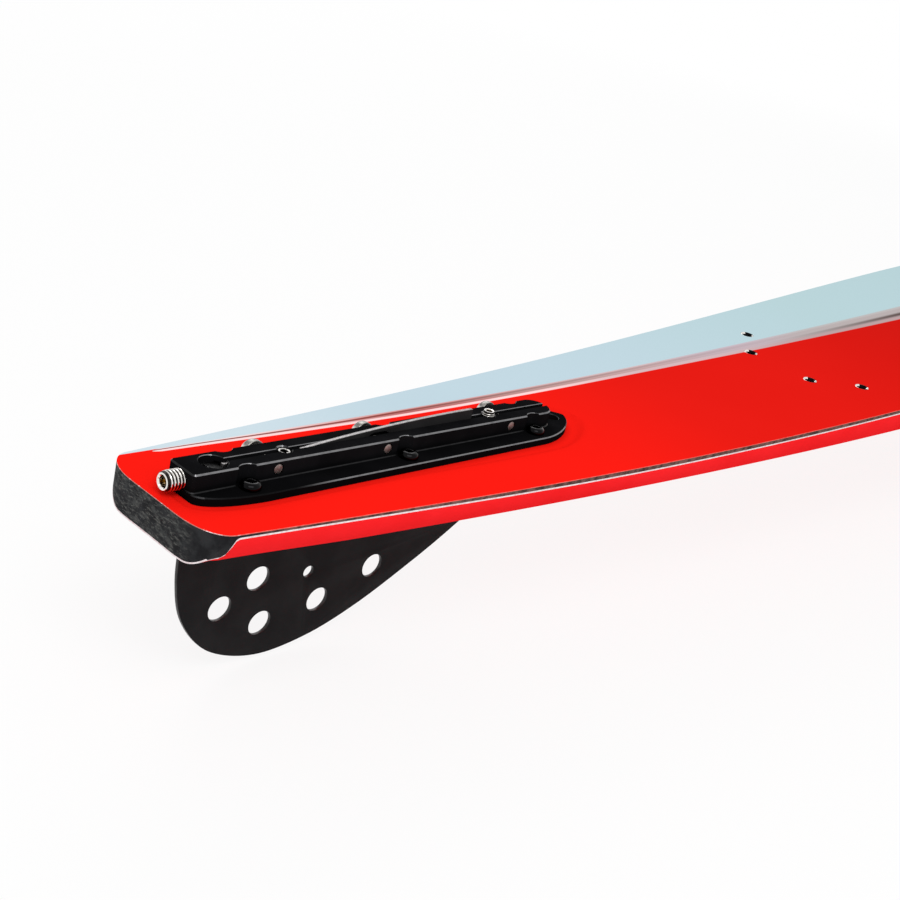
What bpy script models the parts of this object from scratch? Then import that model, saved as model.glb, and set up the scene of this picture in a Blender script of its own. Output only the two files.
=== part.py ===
"""Slalom water ski: laminated ski body, threaded inserts, adjustable fin block and fin.

Lengths are in metres. Inside the functions x runs from the tail's end towards the tip, y to the left of
the rider and z up from the deck at the tail. The finished part is moved so that its origin lies
below its middle, at the level of the fin's lowest point.
"""

import math

import bmesh
import bpy
from mathutils import Matrix, Vector

mm = 0.001

# Clearances
GAP = 0.3 * mm
SLIDE_GAP = 0.3 * mm

# Ski outline
SKI_LENGTH = 1702 * mm
TAIL_WIDTH = 60.2 * mm
WIDEST_WIDTH = 172.8 * mm
WIDEST_AT = 1000 * mm
TAIL_TAPER = 1.812
TIP_FULLNESS = 2.2
TIP_CUT = 1.0 * mm
TAIL_END_WIDTH = 22.2 * mm
TAIL_CORNER_LENGTH = 12.3 * mm
TAIL_CORNER_FULLNESS = 0.47

# Ski thickness and rocker
TAIL_THICKNESS = 14.1 * mm
MIDDLE_THICKNESS = 23.2 * mm
TIP_THICKNESS = 8 * mm
THICKENING_START = 40 * mm
THICKENING_END = 780 * mm
THINNING_START = 900 * mm
TAIL_LEVEL = 96 * mm
TAIL_ROCKER = 12.4 * mm
ROCKER_START = 600 * mm
TIP_ROCKER = 52 * mm
TIP_ROCKER_POWER = 2.6

# Ski section
SIDE_WALL = 3.4 * mm
BEVEL_WIDTH = 12 * mm
TUNNEL_DEPTH = 5.5 * mm
TUNNEL_START = 20 * mm
TUNNEL_FULL = 420 * mm
TUNNEL_FADE = 1250 * mm
TUNNEL_LEAST = 0.15 * mm
TOP_SHEET = 1.0 * mm
BASE_SHEET = 1.0 * mm
CORE_LINE = 0.4 * mm
SHEET_EDGE_RUN = 12.5 * mm

# Fin slot through the ski
SLOT_WIDTH = 2.6 * mm
SLOT_REAR = 10.3 * mm
SLOT_FRONT = 197.5 * mm

# Block seat recessed into the deck
SEAT_DEPTH = 0.5 * mm
SEAT_MARGIN = 5.0 * mm
SEAT_SLOPE = 2.0 * mm

# Fin block
BLOCK_REAR = 8.8 * mm
FLANGE_FULL_AT = 37 * mm
FLANGE_NARROWS_AT = 176 * mm
BLOCK_FRONT = 204.5 * mm
FLANGE_WIDTH = 30.8 * mm
FLANGE_TOP = 2.6 * mm
FLANGE_CHAMFER = 0.4 * mm
JAW_WIDTH = 13.8 * mm
JAW_TOP = 9.2 * mm
JAW_CHAMFER = 0.5 * mm
JAW_NOSE = 190 * mm
JAW_SLOT_REAR = 26 * mm

# Flange screws and their inserts
FLANGE_SCREW_X = (30.3 * mm, 103 * mm, 175 * mm)
FLANGE_SCREW_Y = 9.6 * mm
FLANGE_SCREW_RADIUS = 2.0 * mm
FLANGE_SCREW_LENGTH = 9.5 * mm
FLANGE_HEAD_RADIUS = 3.8 * mm
FLANGE_HEAD_HEIGHT = 2.3 * mm
FLANGE_SOCKET_RADIUS = 1.45 * mm
FLANGE_SOCKET_DEPTH = 1.4 * mm
NOTCH_RADIUS = 4.7 * mm
BLOCK_INSERT_RADIUS = 3.4 * mm
BLOCK_INSERT_LENGTH = 9 * mm

# Clamp screws across the jaws
CLAMP_X = (43.9 * mm, 94.6 * mm, 162.5 * mm)
CLAMP_Z = 5.8 * mm
CLAMP_RADIUS = 2.0 * mm
CLAMP_HEAD_RADIUS = 4.4 * mm
CLAMP_HEAD_HEIGHT = 3.6 * mm
CLAMP_SOCKET_RADIUS = 1.45 * mm
CLAMP_SOCKET_DEPTH = 1.6 * mm

# Length adjuster
LENGTH_TRAVEL = 2.0 * mm
STUD_Z = 5.0 * mm
STUD_RADIUS = 3.6 * mm
STUD_OUT = 6.6 * mm
STUD_INNER_END = 15.5 * mm
STUD_SOCKET_RADIUS = 1.9 * mm
STUD_SOCKET_DEPTH = 4.5 * mm
NECK_RADIUS = 1.5 * mm
NECK_LENGTH = 2.5 * mm
BUTTON_RADIUS = 2.5 * mm
BUTTON_LENGTH = 1.6 * mm
POCKET_X = 21.3 * mm
POCKET_RADIUS = 5.0 * mm
YOKE_REAR = 16.2 * mm
YOKE_FRONT = 31 * mm
YOKE_HALF_WIDTH = 3.6 * mm
YOKE_BOTTOM = 0.2 * mm
YOKE_TOP = 7.0 * mm
YOKE_PIN_X = 28 * mm
YOKE_PIN_Z = 3.6 * mm
YOKE_PIN_RADIUS = 1.2 * mm

# Depth adjusters
DEPTH_TRAVEL = 1.5 * mm
DEPTH_X = (51 * mm, 154.8 * mm)
DEPTH_SCREW_RADIUS = 2.5 * mm
DEPTH_SCREW_TOP = (8.6 * mm, 10.7 * mm)
DEPTH_SOCKET_RADIUS = 1.3 * mm
DEPTH_SOCKET_DEPTH = 2.2 * mm
SHOE_RADIUS = 2.9 * mm
SHOE_BOTTOM = 2.0 * mm
SHOE_TOP = 4.4 * mm
FIN_REST_Z = 3.4 * mm

# Fin blade
FIN_THICKNESS = 1.6 * mm
FIN_REAR = 13.3 * mm
FIN_LENGTH = 175.5 * mm
FIN_DEPTH = 60.6 * mm
FIN_SHOULDER = -2.5 * mm
FIN_TAB_REAR = 25 * mm
FIN_TAB_TOP = 7.9 * mm
FIN_CLAMP_NOTCH_Z = 2.0 * mm
FIN_ARCH_INSET = (7 * mm, 10.8 * mm)
FIN_ARCH_REAR = DEPTH_X[0] + FIN_ARCH_INSET[0]
FIN_ARCH_FRONT = DEPTH_X[1] - FIN_ARCH_INSET[1]
FIN_ARCH_TOP = 12.9 * mm
FIN_ARCH_SAG = 4.5 * mm
FIN_FRONT_INSET = 2.3 * mm
FIN_FRONT_TOP = FIN_REAR + FIN_LENGTH - FIN_FRONT_INSET
FIN_WINDOW_LENGTH = 12.6 * mm
FIN_WINDOW_HEIGHT = 8.2 * mm
FIN_HOLE_RADIUS = 4.85 * mm
FIN_PILOT_RADIUS = 2.35 * mm

# Outline of the blade below the base: shares of the fin's length and depth
BLADE_OUTLINE = (
    (0.005, 0.33),
    (0.035, 0.625),
    (0.112, 0.874),
    (0.236, 0.998),
    (0.372, 0.968),
    (0.502, 0.846),
    (0.639, 0.653),
    (0.774, 0.430),
)
# Centres of the holes, in the same shares
BLADE_HOLES = ((0.122, 0.594), (0.208, 0.452), (0.234, 0.774), (0.384, 0.719), (0.531, 0.576))
BLADE_PILOT = (0.343, 0.495)

# Binding inserts: distance from the tail and half of the spacing across
BINDING_ROWS = (
    (381.2 * mm, 18.8 * mm),
    (404.2 * mm, 36.9 * mm),
    (610 * mm, 36.9 * mm),
    (648 * mm, 36.9 * mm),
    (715 * mm, 36.9 * mm),
    (753 * mm, 36.9 * mm),
    (865 * mm, 36.9 * mm),
    (903 * mm, 36.9 * mm),
)
BINDING_INSERT_RADIUS = 3.6 * mm
BINDING_INSERT_LENGTH = 10 * mm
BINDING_INSERT_BORE = 2.5 * mm
BINDING_INSERT_DEPTH = 8 * mm
BINDING_COLLAR_RADIUS = 5.5 * mm
BINDING_COLLAR_HEIGHT = 1.0 * mm

# Facets
ROUND = 12
CUT = 12
TAIL_STATIONS = 6
BODY_STATIONS = 22
TIP_STATIONS = 8


def smooth_step(value, start, end):
    """0 before start, 1 after end, with no kink at either."""
    u = min(max((value - start) / (end - start), 0.0), 1.0)
    return u**3 * (10 - 15 * u + 6 * u**2)


def half_width(x):
    if x <= WIDEST_AT:
        spread = (WIDEST_WIDTH - TAIL_WIDTH) / 2
        return WIDEST_WIDTH / 2 - spread * (1 - x / WIDEST_AT) ** TAIL_TAPER
    u = (x - WIDEST_AT) / (SKI_LENGTH - WIDEST_AT)
    return WIDEST_WIDTH / 2 * math.sqrt(1 - u**TIP_FULLNESS)


def thickness(x):
    gain = (MIDDLE_THICKNESS - TAIL_THICKNESS) * smooth_step(x, THICKENING_START, THICKENING_END)
    loss = (MIDDLE_THICKNESS - TIP_THICKNESS) * smooth_step(x, THINNING_START, SKI_LENGTH)
    return TAIL_THICKNESS + gain - loss


def base_height(x):
    """The base's height at the centre line: level at the tail, then rockered up to the tip."""
    run = ROCKER_START - TAIL_LEVEL
    if x < ROCKER_START:
        return -TAIL_THICKNESS + TAIL_ROCKER * (max(x - TAIL_LEVEL, 0.0) / run) ** 2
    ahead = x - ROCKER_START
    slope = 2 * TAIL_ROCKER / run
    tip = TIP_ROCKER * (ahead / (SKI_LENGTH - ROCKER_START)) ** TIP_ROCKER_POWER
    return -TAIL_THICKNESS + TAIL_ROCKER + slope * ahead + tip


def deck_height(x):
    return base_height(x) + thickness(x)


def deck_slope(x):
    step = 1 * mm
    return math.atan2(deck_height(x + step) - deck_height(x - step), 2 * step)


def tunnel_depth(x):
    rise = smooth_step(x, TUNNEL_START, TUNNEL_FULL) - smooth_step(x, TUNNEL_FADE, SKI_LENGTH)
    return TUNNEL_LEAST + (TUNNEL_DEPTH - TUNNEL_LEAST) * max(rise, 0.0)


def side_point(x, inset, q):
    """A point of the section's right half.

    q is 0 to 1 down the side wall, 1 to 2 round the bevel and 2 to 3 to the middle of the base.
    """
    wall = min(SIDE_WALL, 0.35 * thickness(x))
    bevel = min(BEVEL_WIDTH, 0.6 * half_width(x))
    fall = thickness(x) - wall
    inner = half_width(x) - bevel
    if q <= 1:
        return half_width(x) - inset, deck_height(x) - q * wall
    if q <= 2:
        turn = (q - 1) * math.pi / 2
        y = inner + (bevel - inset) * math.cos(turn)
        return y, deck_height(x) - wall - (fall - inset) * math.sin(turn)
    y = inner * (3 - q)
    crown = tunnel_depth(x) * 0.5 * (1 + math.cos(math.pi * (3 - q)))
    return y, base_height(x) + inset + crown


def ski_stations():
    body_end = WIDEST_AT + 0.55 * (SKI_LENGTH - WIDEST_AT)
    start = SHEET_EDGE_RUN
    tail = [start * i / TAIL_STATIONS for i in range(TAIL_STATIONS + 1)]
    body = [start + (body_end - start) * i / BODY_STATIONS for i in range(1, BODY_STATIONS + 1)]
    widest = min(range(len(body)), key=lambda i: abs(body[i] - WIDEST_AT))
    body[widest] = WIDEST_AT
    tip_length = SKI_LENGTH - TIP_CUT - body_end
    turns = [math.pi / 2 * i / TIP_STATIONS for i in range(1, TIP_STATIONS + 1)]
    tip = [body_end + tip_length * math.sin(turn) for turn in turns]
    return tail + body + tip


def side_edge(x):
    """Where the base sheet's edge lies on the side, as q.

    It runs just below the deck, and comes down to the base at the tail.
    """
    top = (TOP_SHEET + GAP + CORE_LINE) / min(SIDE_WALL, 0.35 * thickness(x))
    return top + (2 - top) * (1 - smooth_step(x, 0, SHEET_EDGE_RUN))


def side_edge_gap(x):
    """The gap between the core and the base sheet's edge, as q."""
    if side_edge(x) < 1:
        return GAP / min(SIDE_WALL, 0.35 * thickness(x))
    return 1.5 * GAP / BEVEL_WIDTH


def finish(name, color, roughness, metallic):
    made = bpy.data.materials.new(name)
    made.use_nodes = True
    shader = made.node_tree.nodes["Principled BSDF"]
    shader.inputs["Base Color"].default_value = (*color, 1.0)
    shader.inputs["Roughness"].default_value = roughness
    shader.inputs["Metallic"].default_value = metallic
    made.diffuse_color = (*color, 1.0)
    return made


def bm_loft(bm, rings, closed_caps=True):
    """Joins rings of equal length by quads, with a face over each end."""
    made = [[bm.verts.new(point) for point in ring] for ring in rings]
    count = len(made[0])
    bm_skin(bm, made, count // 2 - 1)
    if closed_caps:
        bm.faces.new(made[0][::-1])
        bm.faces.new(made[-1])
    bmesh.ops.recalc_face_normals(bm, faces=bm.faces)
    return made


def bm_skin(bm, made, turned_from=None):
    """Joins rings by triangles with one chosen diagonal, turned from the given place in the ring on."""
    count = len(made[0])
    for low, high in zip(made, made[1:]):
        for i in range(count):
            j = (i + 1) % count
            if turned_from is None or i < turned_from:
                bm.faces.new((low[i], low[j], high[j]))
                bm.faces.new((low[i], high[j], high[i]))
            else:
                bm.faces.new((low[i], low[j], high[i]))
                bm.faces.new((low[j], high[j], high[i]))


def bm_revolve(bm, profile, segments=ROUND, matrix=None):
    """Turns (radius, height) pairs round Z. The first and last pairs close the ends with flat faces."""
    matrix = matrix or Matrix.Identity(4)
    rings = []
    for radius, height in profile:
        ring = []
        for i in range(segments):
            turn = 2 * math.pi * (i + 0.5) / segments
            ring.append(matrix @ Vector((radius * math.cos(turn), radius * math.sin(turn), height)))
        rings.append(ring)
    return bm_loft(bm, rings)


def bm_socket(profile_top, radius, depth):
    """Profile pairs that sink a round socket into a flat top."""
    return [(radius, profile_top), (radius, profile_top - depth)]


def bm_box(bm, low, high):
    corners = [(low[0], low[1]), (high[0], low[1]), (high[0], high[1]), (low[0], high[1])]
    return bm_loft(bm, [[Vector((x, y, z)) for x, y in corners] for z in (low[2], high[2])])


def bm_bar(bm, start, end, radius, segments=CUT):
    """A round bar from one point to another."""
    start, end = Vector(start), Vector(end)
    turn = Vector((0, 0, 1)).rotation_difference(end - start).to_matrix().to_4x4()
    matrix = Matrix.Translation(start) @ turn
    return bm_revolve(bm, [(radius, 0), (radius, (end - start).length)], segments, matrix)


def obround(x_low, x_high, width, steps=4):
    """Plan outline of a slot with round ends along X."""
    radius = width / 2
    points = []
    for centre, start in ((x_high - radius, -90), (x_low + radius, 90)):
        for i in range(2 * steps + 1):
            turn = math.radians(start + 180 * i / (2 * steps))
            points.append((centre + radius * math.cos(turn), radius * math.sin(turn)))
    return points


def on_origin():
    """Where the tail's end lies once the origin is below the middle of the ski."""
    lowest = min(point.y for point in fin_outline())
    return Vector((-SKI_LENGTH / 2 + TIP_CUT / 2, 0, -lowest))


def add(name, bm, surface, pivot=(0, 0, 0), parent=None):
    """Makes an object whose origin is the pivot, a point in the tail's frame."""
    pivot = Vector(pivot)
    bmesh.ops.translate(bm, verts=bm.verts, vec=-pivot)
    bmesh.ops.recalc_face_normals(bm, faces=bm.faces)
    mesh = bpy.data.meshes.new(name)
    bm.to_mesh(mesh)
    bm.free()
    mesh.shade_smooth()
    mesh.set_sharp_from_angle(angle=math.radians(35))
    made = bpy.data.objects.new(name, mesh)
    bpy.context.scene.collection.objects.link(made)
    if surface:
        mesh.materials.append(surface)
    made.location = on_origin() + pivot
    if parent:
        made.parent = parent
        made.matrix_parent_inverse = Matrix.Translation(-parent.location)
    return made


def cutter(name, bm):
    made = add(name, bm, None)
    made.hide_render = True
    made.display_type = "WIRE"
    return made


def cut(target, tool):
    """Subtracts one tool from a target with the exact solver."""
    modifier = target.modifiers.new(tool.name, "BOOLEAN")
    modifier.operation = "DIFFERENCE"
    modifier.solver = "EXACT"
    modifier.object = tool


def fuse(target, tool):
    modifier = target.modifiers.new(tool.name, "BOOLEAN")
    modifier.operation = "UNION"
    modifier.solver = "EXACT"
    modifier.object = tool


def mirrored_ring(x, right):
    """A closed section from its right half, listed from the deck to the middle of the base."""
    left = [(-y, z) for y, z in reversed(right[:-1])]
    return [Vector((x, y, z)) for y, z in right + left]


def side_run(x, inset, gap=0.0):
    """Points of the right half from the base sheet's edge round the bevel to the middle of the base."""
    usual = (0.8, 1, 1.3, 1.55, 1.78, 2, 2 + 1 / 3, 2 + 2 / 3, 3)
    start = side_edge(x)
    spread = (3 - start) / (3 - usual[0])
    run = [3 - (3 - q) * spread for q in usual] if start > usual[0] else [start] + list(usual[1:])
    run[0] = start + gap
    return [side_point(x, inset, q) for q in run]


def core_shape():
    """The core: flush with the sides above the base sheet's edge, and inset behind the sheet below it."""
    bm = bmesh.new()
    inset = BASE_SHEET + GAP
    rings = []
    for x in ski_stations():
        edge = side_edge(x)
        top = (TOP_SHEET + GAP) / min(SIDE_WALL, 0.35 * thickness(x))
        right = [side_point(x, 0, top + (edge - top) * share) for share in (0, 0.42, 0.7, 1)]
        right += side_run(x, inset)
        rings.append([bm.verts.new(point) for point in mirrored_ring(x, right)])
    bm_skin(bm, rings)
    bm.faces.new(rings[0][::-1])
    bm.faces.new(rings[-1])
    return bm


def base_sheet_shape():
    """The sheet over the base and the sides, with its edge running down to the base at the tail."""
    bm = bmesh.new()
    made = []
    for x in ski_stations():
        gap = side_edge_gap(x)
        outside = mirrored_ring(x, side_run(x, 0, gap))
        inside = mirrored_ring(x, side_run(x, BASE_SHEET, gap))
        made.append([bm.verts.new(point) for point in outside + inside[::-1]])
    count = len(made[0])
    bm_skin(bm, made, count // 2 - 1)
    for ring in (made[0], made[-1]):
        for i in range(count // 2 - 1):
            bm.faces.new((ring[i], ring[i + 1], ring[count - 2 - i], ring[count - 1 - i]))
    return bm


def top_sheet_shape():
    bm = bmesh.new()
    rings = []
    for x in ski_stations():
        deck = deck_height(x)
        half = half_width(x)
        section = [(-half, deck), (half, deck), (half, deck - TOP_SHEET), (-half, deck - TOP_SHEET)]
        rings.append([Vector((x, y, z)) for y, z in section])
    bm_loft(bm, rings)
    return bm


def tail_corner_shape():
    """Two upright cutters that round the tail's corners in plan."""
    bm = bmesh.new()
    steps = 7
    reach = 4 * TAIL_CORNER_LENGTH
    top = 10 * mm
    bottom = -2 * TAIL_THICKNESS
    end_half = TAIL_END_WIDTH / 2
    full = half_width(TAIL_CORNER_LENGTH)
    for side in (1, -1):
        curve = []
        for i in range(steps + 1):
            u = 1 - math.cos(math.pi / 2 * i / steps)
            grown = (1 - (1 - u) ** 2) ** TAIL_CORNER_FULLNESS
            curve.append((TAIL_CORNER_LENGTH * u, end_half + (full - end_half) * grown))
        outline = [(-reach, end_half)] + curve
        outline += [(TAIL_CORNER_LENGTH, full + reach), (-reach, full + reach)]
        rings = [[Vector((x, side * y, z)) for x, y in outline] for z in (bottom, top)]
        bm_loft(bm, rings)
    return bm


def fin_slot_shape():
    bm = bmesh.new()
    outline = obround(SLOT_REAR, SLOT_FRONT, SLOT_WIDTH)
    rings = [[Vector((x, y, z)) for x, y in outline] for z in (-3 * TAIL_THICKNESS, 8 * mm)]
    bm_loft(bm, rings)
    return bm


def flange_outline(margin=0.0, steps=7):
    """Plan outline of the block's flange, pushed out by a margin."""
    half = FLANGE_WIDTH / 2
    rear_half = JAW_WIDTH / 2
    right = []
    for i in range(steps + 1):
        turn = math.pi / 2 * i / steps
        x = FLANGE_FULL_AT - (FLANGE_FULL_AT - BLOCK_REAR) * math.cos(turn)
        right.append((x, rear_half + (half - rear_half) * math.sin(turn)))
    for i in range(steps + 1):
        u = math.sin(math.pi / 2 * i / steps)
        x = FLANGE_NARROWS_AT + (BLOCK_FRONT - FLANGE_NARROWS_AT) * u
        right.append((x, half * (1 - u**1.8) ** 0.7))
    points = [(x, -y) for x, y in right] + [(x, y) for x, y in reversed(right[:-1])]
    if not margin:
        return points
    count = len(points)
    moved = []
    for i, (x, y) in enumerate(points):
        before, after = points[i - 1], points[(i + 1) % count]
        along = Vector((after[0] - before[0], after[1] - before[1]))
        normal = Vector((along.y, -along.x)).normalized()
        moved.append((x + margin * normal.x, y + margin * normal.y))
    return moved


def seat_shape():
    """The recess round the block, with a level floor and a sloping side."""
    bm = bmesh.new()
    floor = -SEAT_DEPTH
    levels = ((floor, 0.0), (floor + 1.5 * SEAT_DEPTH, 0.6), (floor + 8 * SEAT_DEPTH, 2.2))
    rings = []
    for height, share in levels:
        outline = flange_outline(SEAT_MARGIN + share * SEAT_SLOPE)
        rings.append([Vector((x, y, height)) for x, y in outline])
    bm_loft(bm, rings)
    return bm


def seat_pan_shape():
    """The sheet's own floor and side under the recess, up to the middle of the sheet round it."""
    bm = bmesh.new()
    floor = -SEAT_DEPTH - TOP_SHEET
    low = flange_outline(SEAT_MARGIN + TOP_SHEET)
    high = flange_outline(SEAT_MARGIN + 1.6 * SEAT_SLOPE)
    rings = [[Vector((x, y, floor)) for x, y in low]]
    rings.append([Vector((x, y, deck_height(max(x, 0.0)) - TOP_SHEET / 2)) for x, y in high])
    bm_loft(bm, rings)
    return bm


def core_seat_shape():
    """The room that the core leaves for the pan."""
    bm = bmesh.new()
    floor = -SEAT_DEPTH - TOP_SHEET - GAP
    low = flange_outline(SEAT_MARGIN + TOP_SHEET + GAP)
    high = flange_outline(SEAT_MARGIN + 1.6 * SEAT_SLOPE + GAP)
    rings = [[Vector((x, y, floor)) for x, y in low]]
    rings.append([Vector((x, y, deck_height(max(x, 0.0)) - TOP_SHEET / 2)) for x, y in high])
    rings.append([Vector((x, y, 12 * mm)) for x, y in high])
    bm_loft(bm, rings)
    return bm


def insert_frame(x, y):
    """The deck's own frame at a binding insert: origin on the deck, Z square to it."""
    tilt = Matrix.Rotation(-deck_slope(x), 4, "Y")
    return Matrix.Translation((x, y, deck_height(x))) @ tilt


def each_binding_insert():
    for row, (x, half_spacing) in enumerate(BINDING_ROWS, 1):
        for side, sign in (("right", -1), ("left", 1)):
            yield f"binding_insert_{row}_{side}", x, sign * half_spacing


def each_flange_screw():
    for place, x in zip(("rear", "middle", "front"), FLANGE_SCREW_X):
        for side, sign in (("right", -1), ("left", 1)):
            yield f"{place}_{side}", x, sign * FLANGE_SCREW_Y


def core_holes_shape():
    bm = bmesh.new()
    for _, x, y in each_binding_insert():
        collar = -TOP_SHEET - GAP - BINDING_COLLAR_HEIGHT
        profile = [
            (BINDING_INSERT_RADIUS + GAP, -BINDING_INSERT_LENGTH - 2 * GAP),
            (BINDING_INSERT_RADIUS + GAP, collar - GAP),
            (BINDING_COLLAR_RADIUS + GAP, collar - GAP),
            (BINDING_COLLAR_RADIUS + GAP, 2 * mm),
        ]
        bm_revolve(bm, profile, CUT, insert_frame(x, y))
    top = -SEAT_DEPTH - TOP_SHEET - GAP
    for _, x, y in each_flange_screw():
        profile = [
            (BLOCK_INSERT_RADIUS + GAP, top - BLOCK_INSERT_LENGTH - GAP),
            (BLOCK_INSERT_RADIUS + GAP, 5 * mm),
        ]
        bm_revolve(bm, profile, CUT, Matrix.Translation((x, y, 0)))
    return bm


def top_holes_shape():
    bm = bmesh.new()
    for _, x, y in each_binding_insert():
        radius = BINDING_INSERT_RADIUS + GAP
        bm_revolve(bm, [(radius, -4 * mm), (radius, 2 * mm)], CUT, insert_frame(x, y))
    for _, x, y in each_flange_screw():
        radius = FLANGE_SCREW_RADIUS + GAP
        bm_revolve(bm, [(radius, -4 * mm), (radius, 5 * mm)], CUT, Matrix.Translation((x, y, 0)))
    return bm


def binding_insert_shape():
    """A threaded insert with its collar, built in the deck's frame."""
    bm = bmesh.new()
    under = -TOP_SHEET - GAP
    outer = [
        (BINDING_INSERT_RADIUS, -BINDING_INSERT_LENGTH),
        (BINDING_INSERT_RADIUS, under - BINDING_COLLAR_HEIGHT),
        (BINDING_COLLAR_RADIUS, under - BINDING_COLLAR_HEIGHT),
        (BINDING_COLLAR_RADIUS, under),
        (BINDING_INSERT_RADIUS, under),
        (BINDING_INSERT_RADIUS, 0.0),
    ]
    bore = bm_socket(0.0, BINDING_INSERT_BORE, BINDING_INSERT_DEPTH)
    bm_revolve(bm, outer + bore)
    return bm


def block_insert_shape():
    bm = bmesh.new()
    radius = FLANGE_SCREW_RADIUS + GAP
    outer = [(BLOCK_INSERT_RADIUS, -BLOCK_INSERT_LENGTH), (BLOCK_INSERT_RADIUS, 0.0)]
    bm_revolve(bm, outer + bm_socket(0.0, radius, BLOCK_INSERT_LENGTH - 1 * mm))
    return bm


def flange_screw_shape():
    """A button-head screw, with its origin under its head."""
    bm = bmesh.new()
    outer = [
        (FLANGE_SCREW_RADIUS, -FLANGE_SCREW_LENGTH),
        (FLANGE_SCREW_RADIUS, 0.0),
        (FLANGE_HEAD_RADIUS, 0.0),
        (FLANGE_HEAD_RADIUS, 0.35 * FLANGE_HEAD_HEIGHT),
        (0.86 * FLANGE_HEAD_RADIUS, 0.75 * FLANGE_HEAD_HEIGHT),
        (0.62 * FLANGE_HEAD_RADIUS, FLANGE_HEAD_HEIGHT),
    ]
    bm_revolve(bm, outer + bm_socket(FLANGE_HEAD_HEIGHT, FLANGE_SOCKET_RADIUS, FLANGE_SOCKET_DEPTH))
    return bm


def clamp_screw_shape():
    """A dome-head screw across the jaws, with its axis along Z and its origin under its head."""
    bm = bmesh.new()
    outer = [
        (CLAMP_RADIUS, -JAW_WIDTH - GAP),
        (CLAMP_RADIUS, 0.0),
        (CLAMP_HEAD_RADIUS, 0.0),
        (0.96 * CLAMP_HEAD_RADIUS, 0.42 * CLAMP_HEAD_HEIGHT),
        (0.82 * CLAMP_HEAD_RADIUS, 0.8 * CLAMP_HEAD_HEIGHT),
        (0.52 * CLAMP_HEAD_RADIUS, CLAMP_HEAD_HEIGHT),
    ]
    bm_revolve(bm, outer + bm_socket(CLAMP_HEAD_HEIGHT, CLAMP_SOCKET_RADIUS, CLAMP_SOCKET_DEPTH))
    return bm


def jaw_outline(inset=0.0, steps=5):
    """Plan outline of the jaws: square at the rear, round at the nose."""
    half = JAW_WIDTH / 2
    front = JAW_NOSE - half
    right = [(BLOCK_REAR + inset, half - inset)]
    for i in range(steps + 1):
        turn = math.pi / 2 * i / steps
        right.append((front + (half - inset) * math.sin(turn), (half - inset) * math.cos(turn)))
    return [(x, -y) for x, y in right] + [(x, y) for x, y in reversed(right[:-1])]


def level_loft(levels):
    bm = bmesh.new()
    bm_loft(bm, [[Vector((x, y, height)) for x, y in outline] for height, outline in levels])
    return bm


def flange_shape():
    chamfered = flange_outline(-FLANGE_CHAMFER)
    bottom = -SEAT_DEPTH + GAP
    levels = (
        (bottom, flange_outline()),
        (FLANGE_TOP - FLANGE_CHAMFER, flange_outline()),
        (FLANGE_TOP, chamfered),
    )
    return level_loft(levels)


def jaws_shape():
    low = 0.5 * FLANGE_TOP
    levels = (
        (low, jaw_outline(0.02 * mm)),
        (JAW_TOP - JAW_CHAMFER, jaw_outline(0.02 * mm)),
        (JAW_TOP, jaw_outline(JAW_CHAMFER)),
    )
    return level_loft(levels)


def block_slot_shape():
    """The slot that holds the fin, open at the nose, and the wider hole in the flange ahead of it."""
    bm = bmesh.new()
    half = FIN_THICKNESS / 2 + SLIDE_GAP
    bm_box(bm, (JAW_SLOT_REAR, -half, -5 * mm), (BLOCK_FRONT - 7.5 * mm, half, JAW_TOP + 5 * mm))
    return bm


def flange_hole_shape():
    bm = bmesh.new()
    bm_bar(bm, (BLOCK_FRONT - 8.0 * mm, 0, -5 * mm), (BLOCK_FRONT - 8.0 * mm, 0, 5 * mm), 3.2 * mm)
    return bm


def notch_shape():
    """Upright half-round notches that clear the flange screws' heads."""
    bm = bmesh.new()
    for _, x, y in each_flange_screw():
        bm_bar(bm, (x, y, FLANGE_TOP), (x, y, JAW_TOP + 5 * mm), NOTCH_RADIUS)
    return bm


def block_bores_shape():
    """Holes for the flange screws."""
    bm = bmesh.new()
    for _, x, y in each_flange_screw():
        bm_bar(bm, (x, y, -5 * mm), (x, y, FLANGE_TOP + 1 * mm), FLANGE_SCREW_RADIUS + GAP)
    return bm


def clamp_bores_shape():
    bm = bmesh.new()
    for x in CLAMP_X:
        bm_bar(bm, (x, -JAW_WIDTH, CLAMP_Z), (x, JAW_WIDTH, CLAMP_Z), CLAMP_RADIUS + GAP)
    return bm


def clamp_head_seats_shape():
    """Round seats milled into the flange below the clamp screws' heads."""
    bm = bmesh.new()
    start = JAW_WIDTH / 2
    for x in CLAMP_X:
        end = start + CLAMP_HEAD_HEIGHT + 3 * GAP
        bm_bar(bm, (x, start, CLAMP_Z), (x, end, CLAMP_Z), CLAMP_HEAD_RADIUS + GAP)
    return bm


def depth_bores_shape():
    bm = bmesh.new()
    change = SHOE_TOP + DEPTH_TRAVEL + GAP
    for x in DEPTH_X:
        profile = [
            (SHOE_RADIUS + SLIDE_GAP, -5 * mm),
            (SHOE_RADIUS + SLIDE_GAP, change),
            (DEPTH_SCREW_RADIUS + GAP, change),
            (DEPTH_SCREW_RADIUS + GAP, JAW_TOP + 5 * mm),
        ]
        bm_revolve(bm, profile, CUT, Matrix.Translation((x, 0, 0)))
    return bm


def rear_cavity_shape():
    """The cavity milled from below for the yoke."""
    bm = bmesh.new()
    rear = YOKE_REAR - LENGTH_TRAVEL - 2 * GAP
    front = YOKE_FRONT + LENGTH_TRAVEL + 2 * GAP
    half = YOKE_HALF_WIDTH + SLIDE_GAP
    bm_box(bm, (rear, -half, -5 * mm), (front, half, YOKE_TOP + GAP))
    return bm


def stud_bore_shape():
    bm = bmesh.new()
    bm_bar(bm, (BLOCK_REAR - 5 * mm, 0, STUD_Z), (POCKET_X, 0, STUD_Z), STUD_RADIUS + GAP)
    return bm


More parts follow.
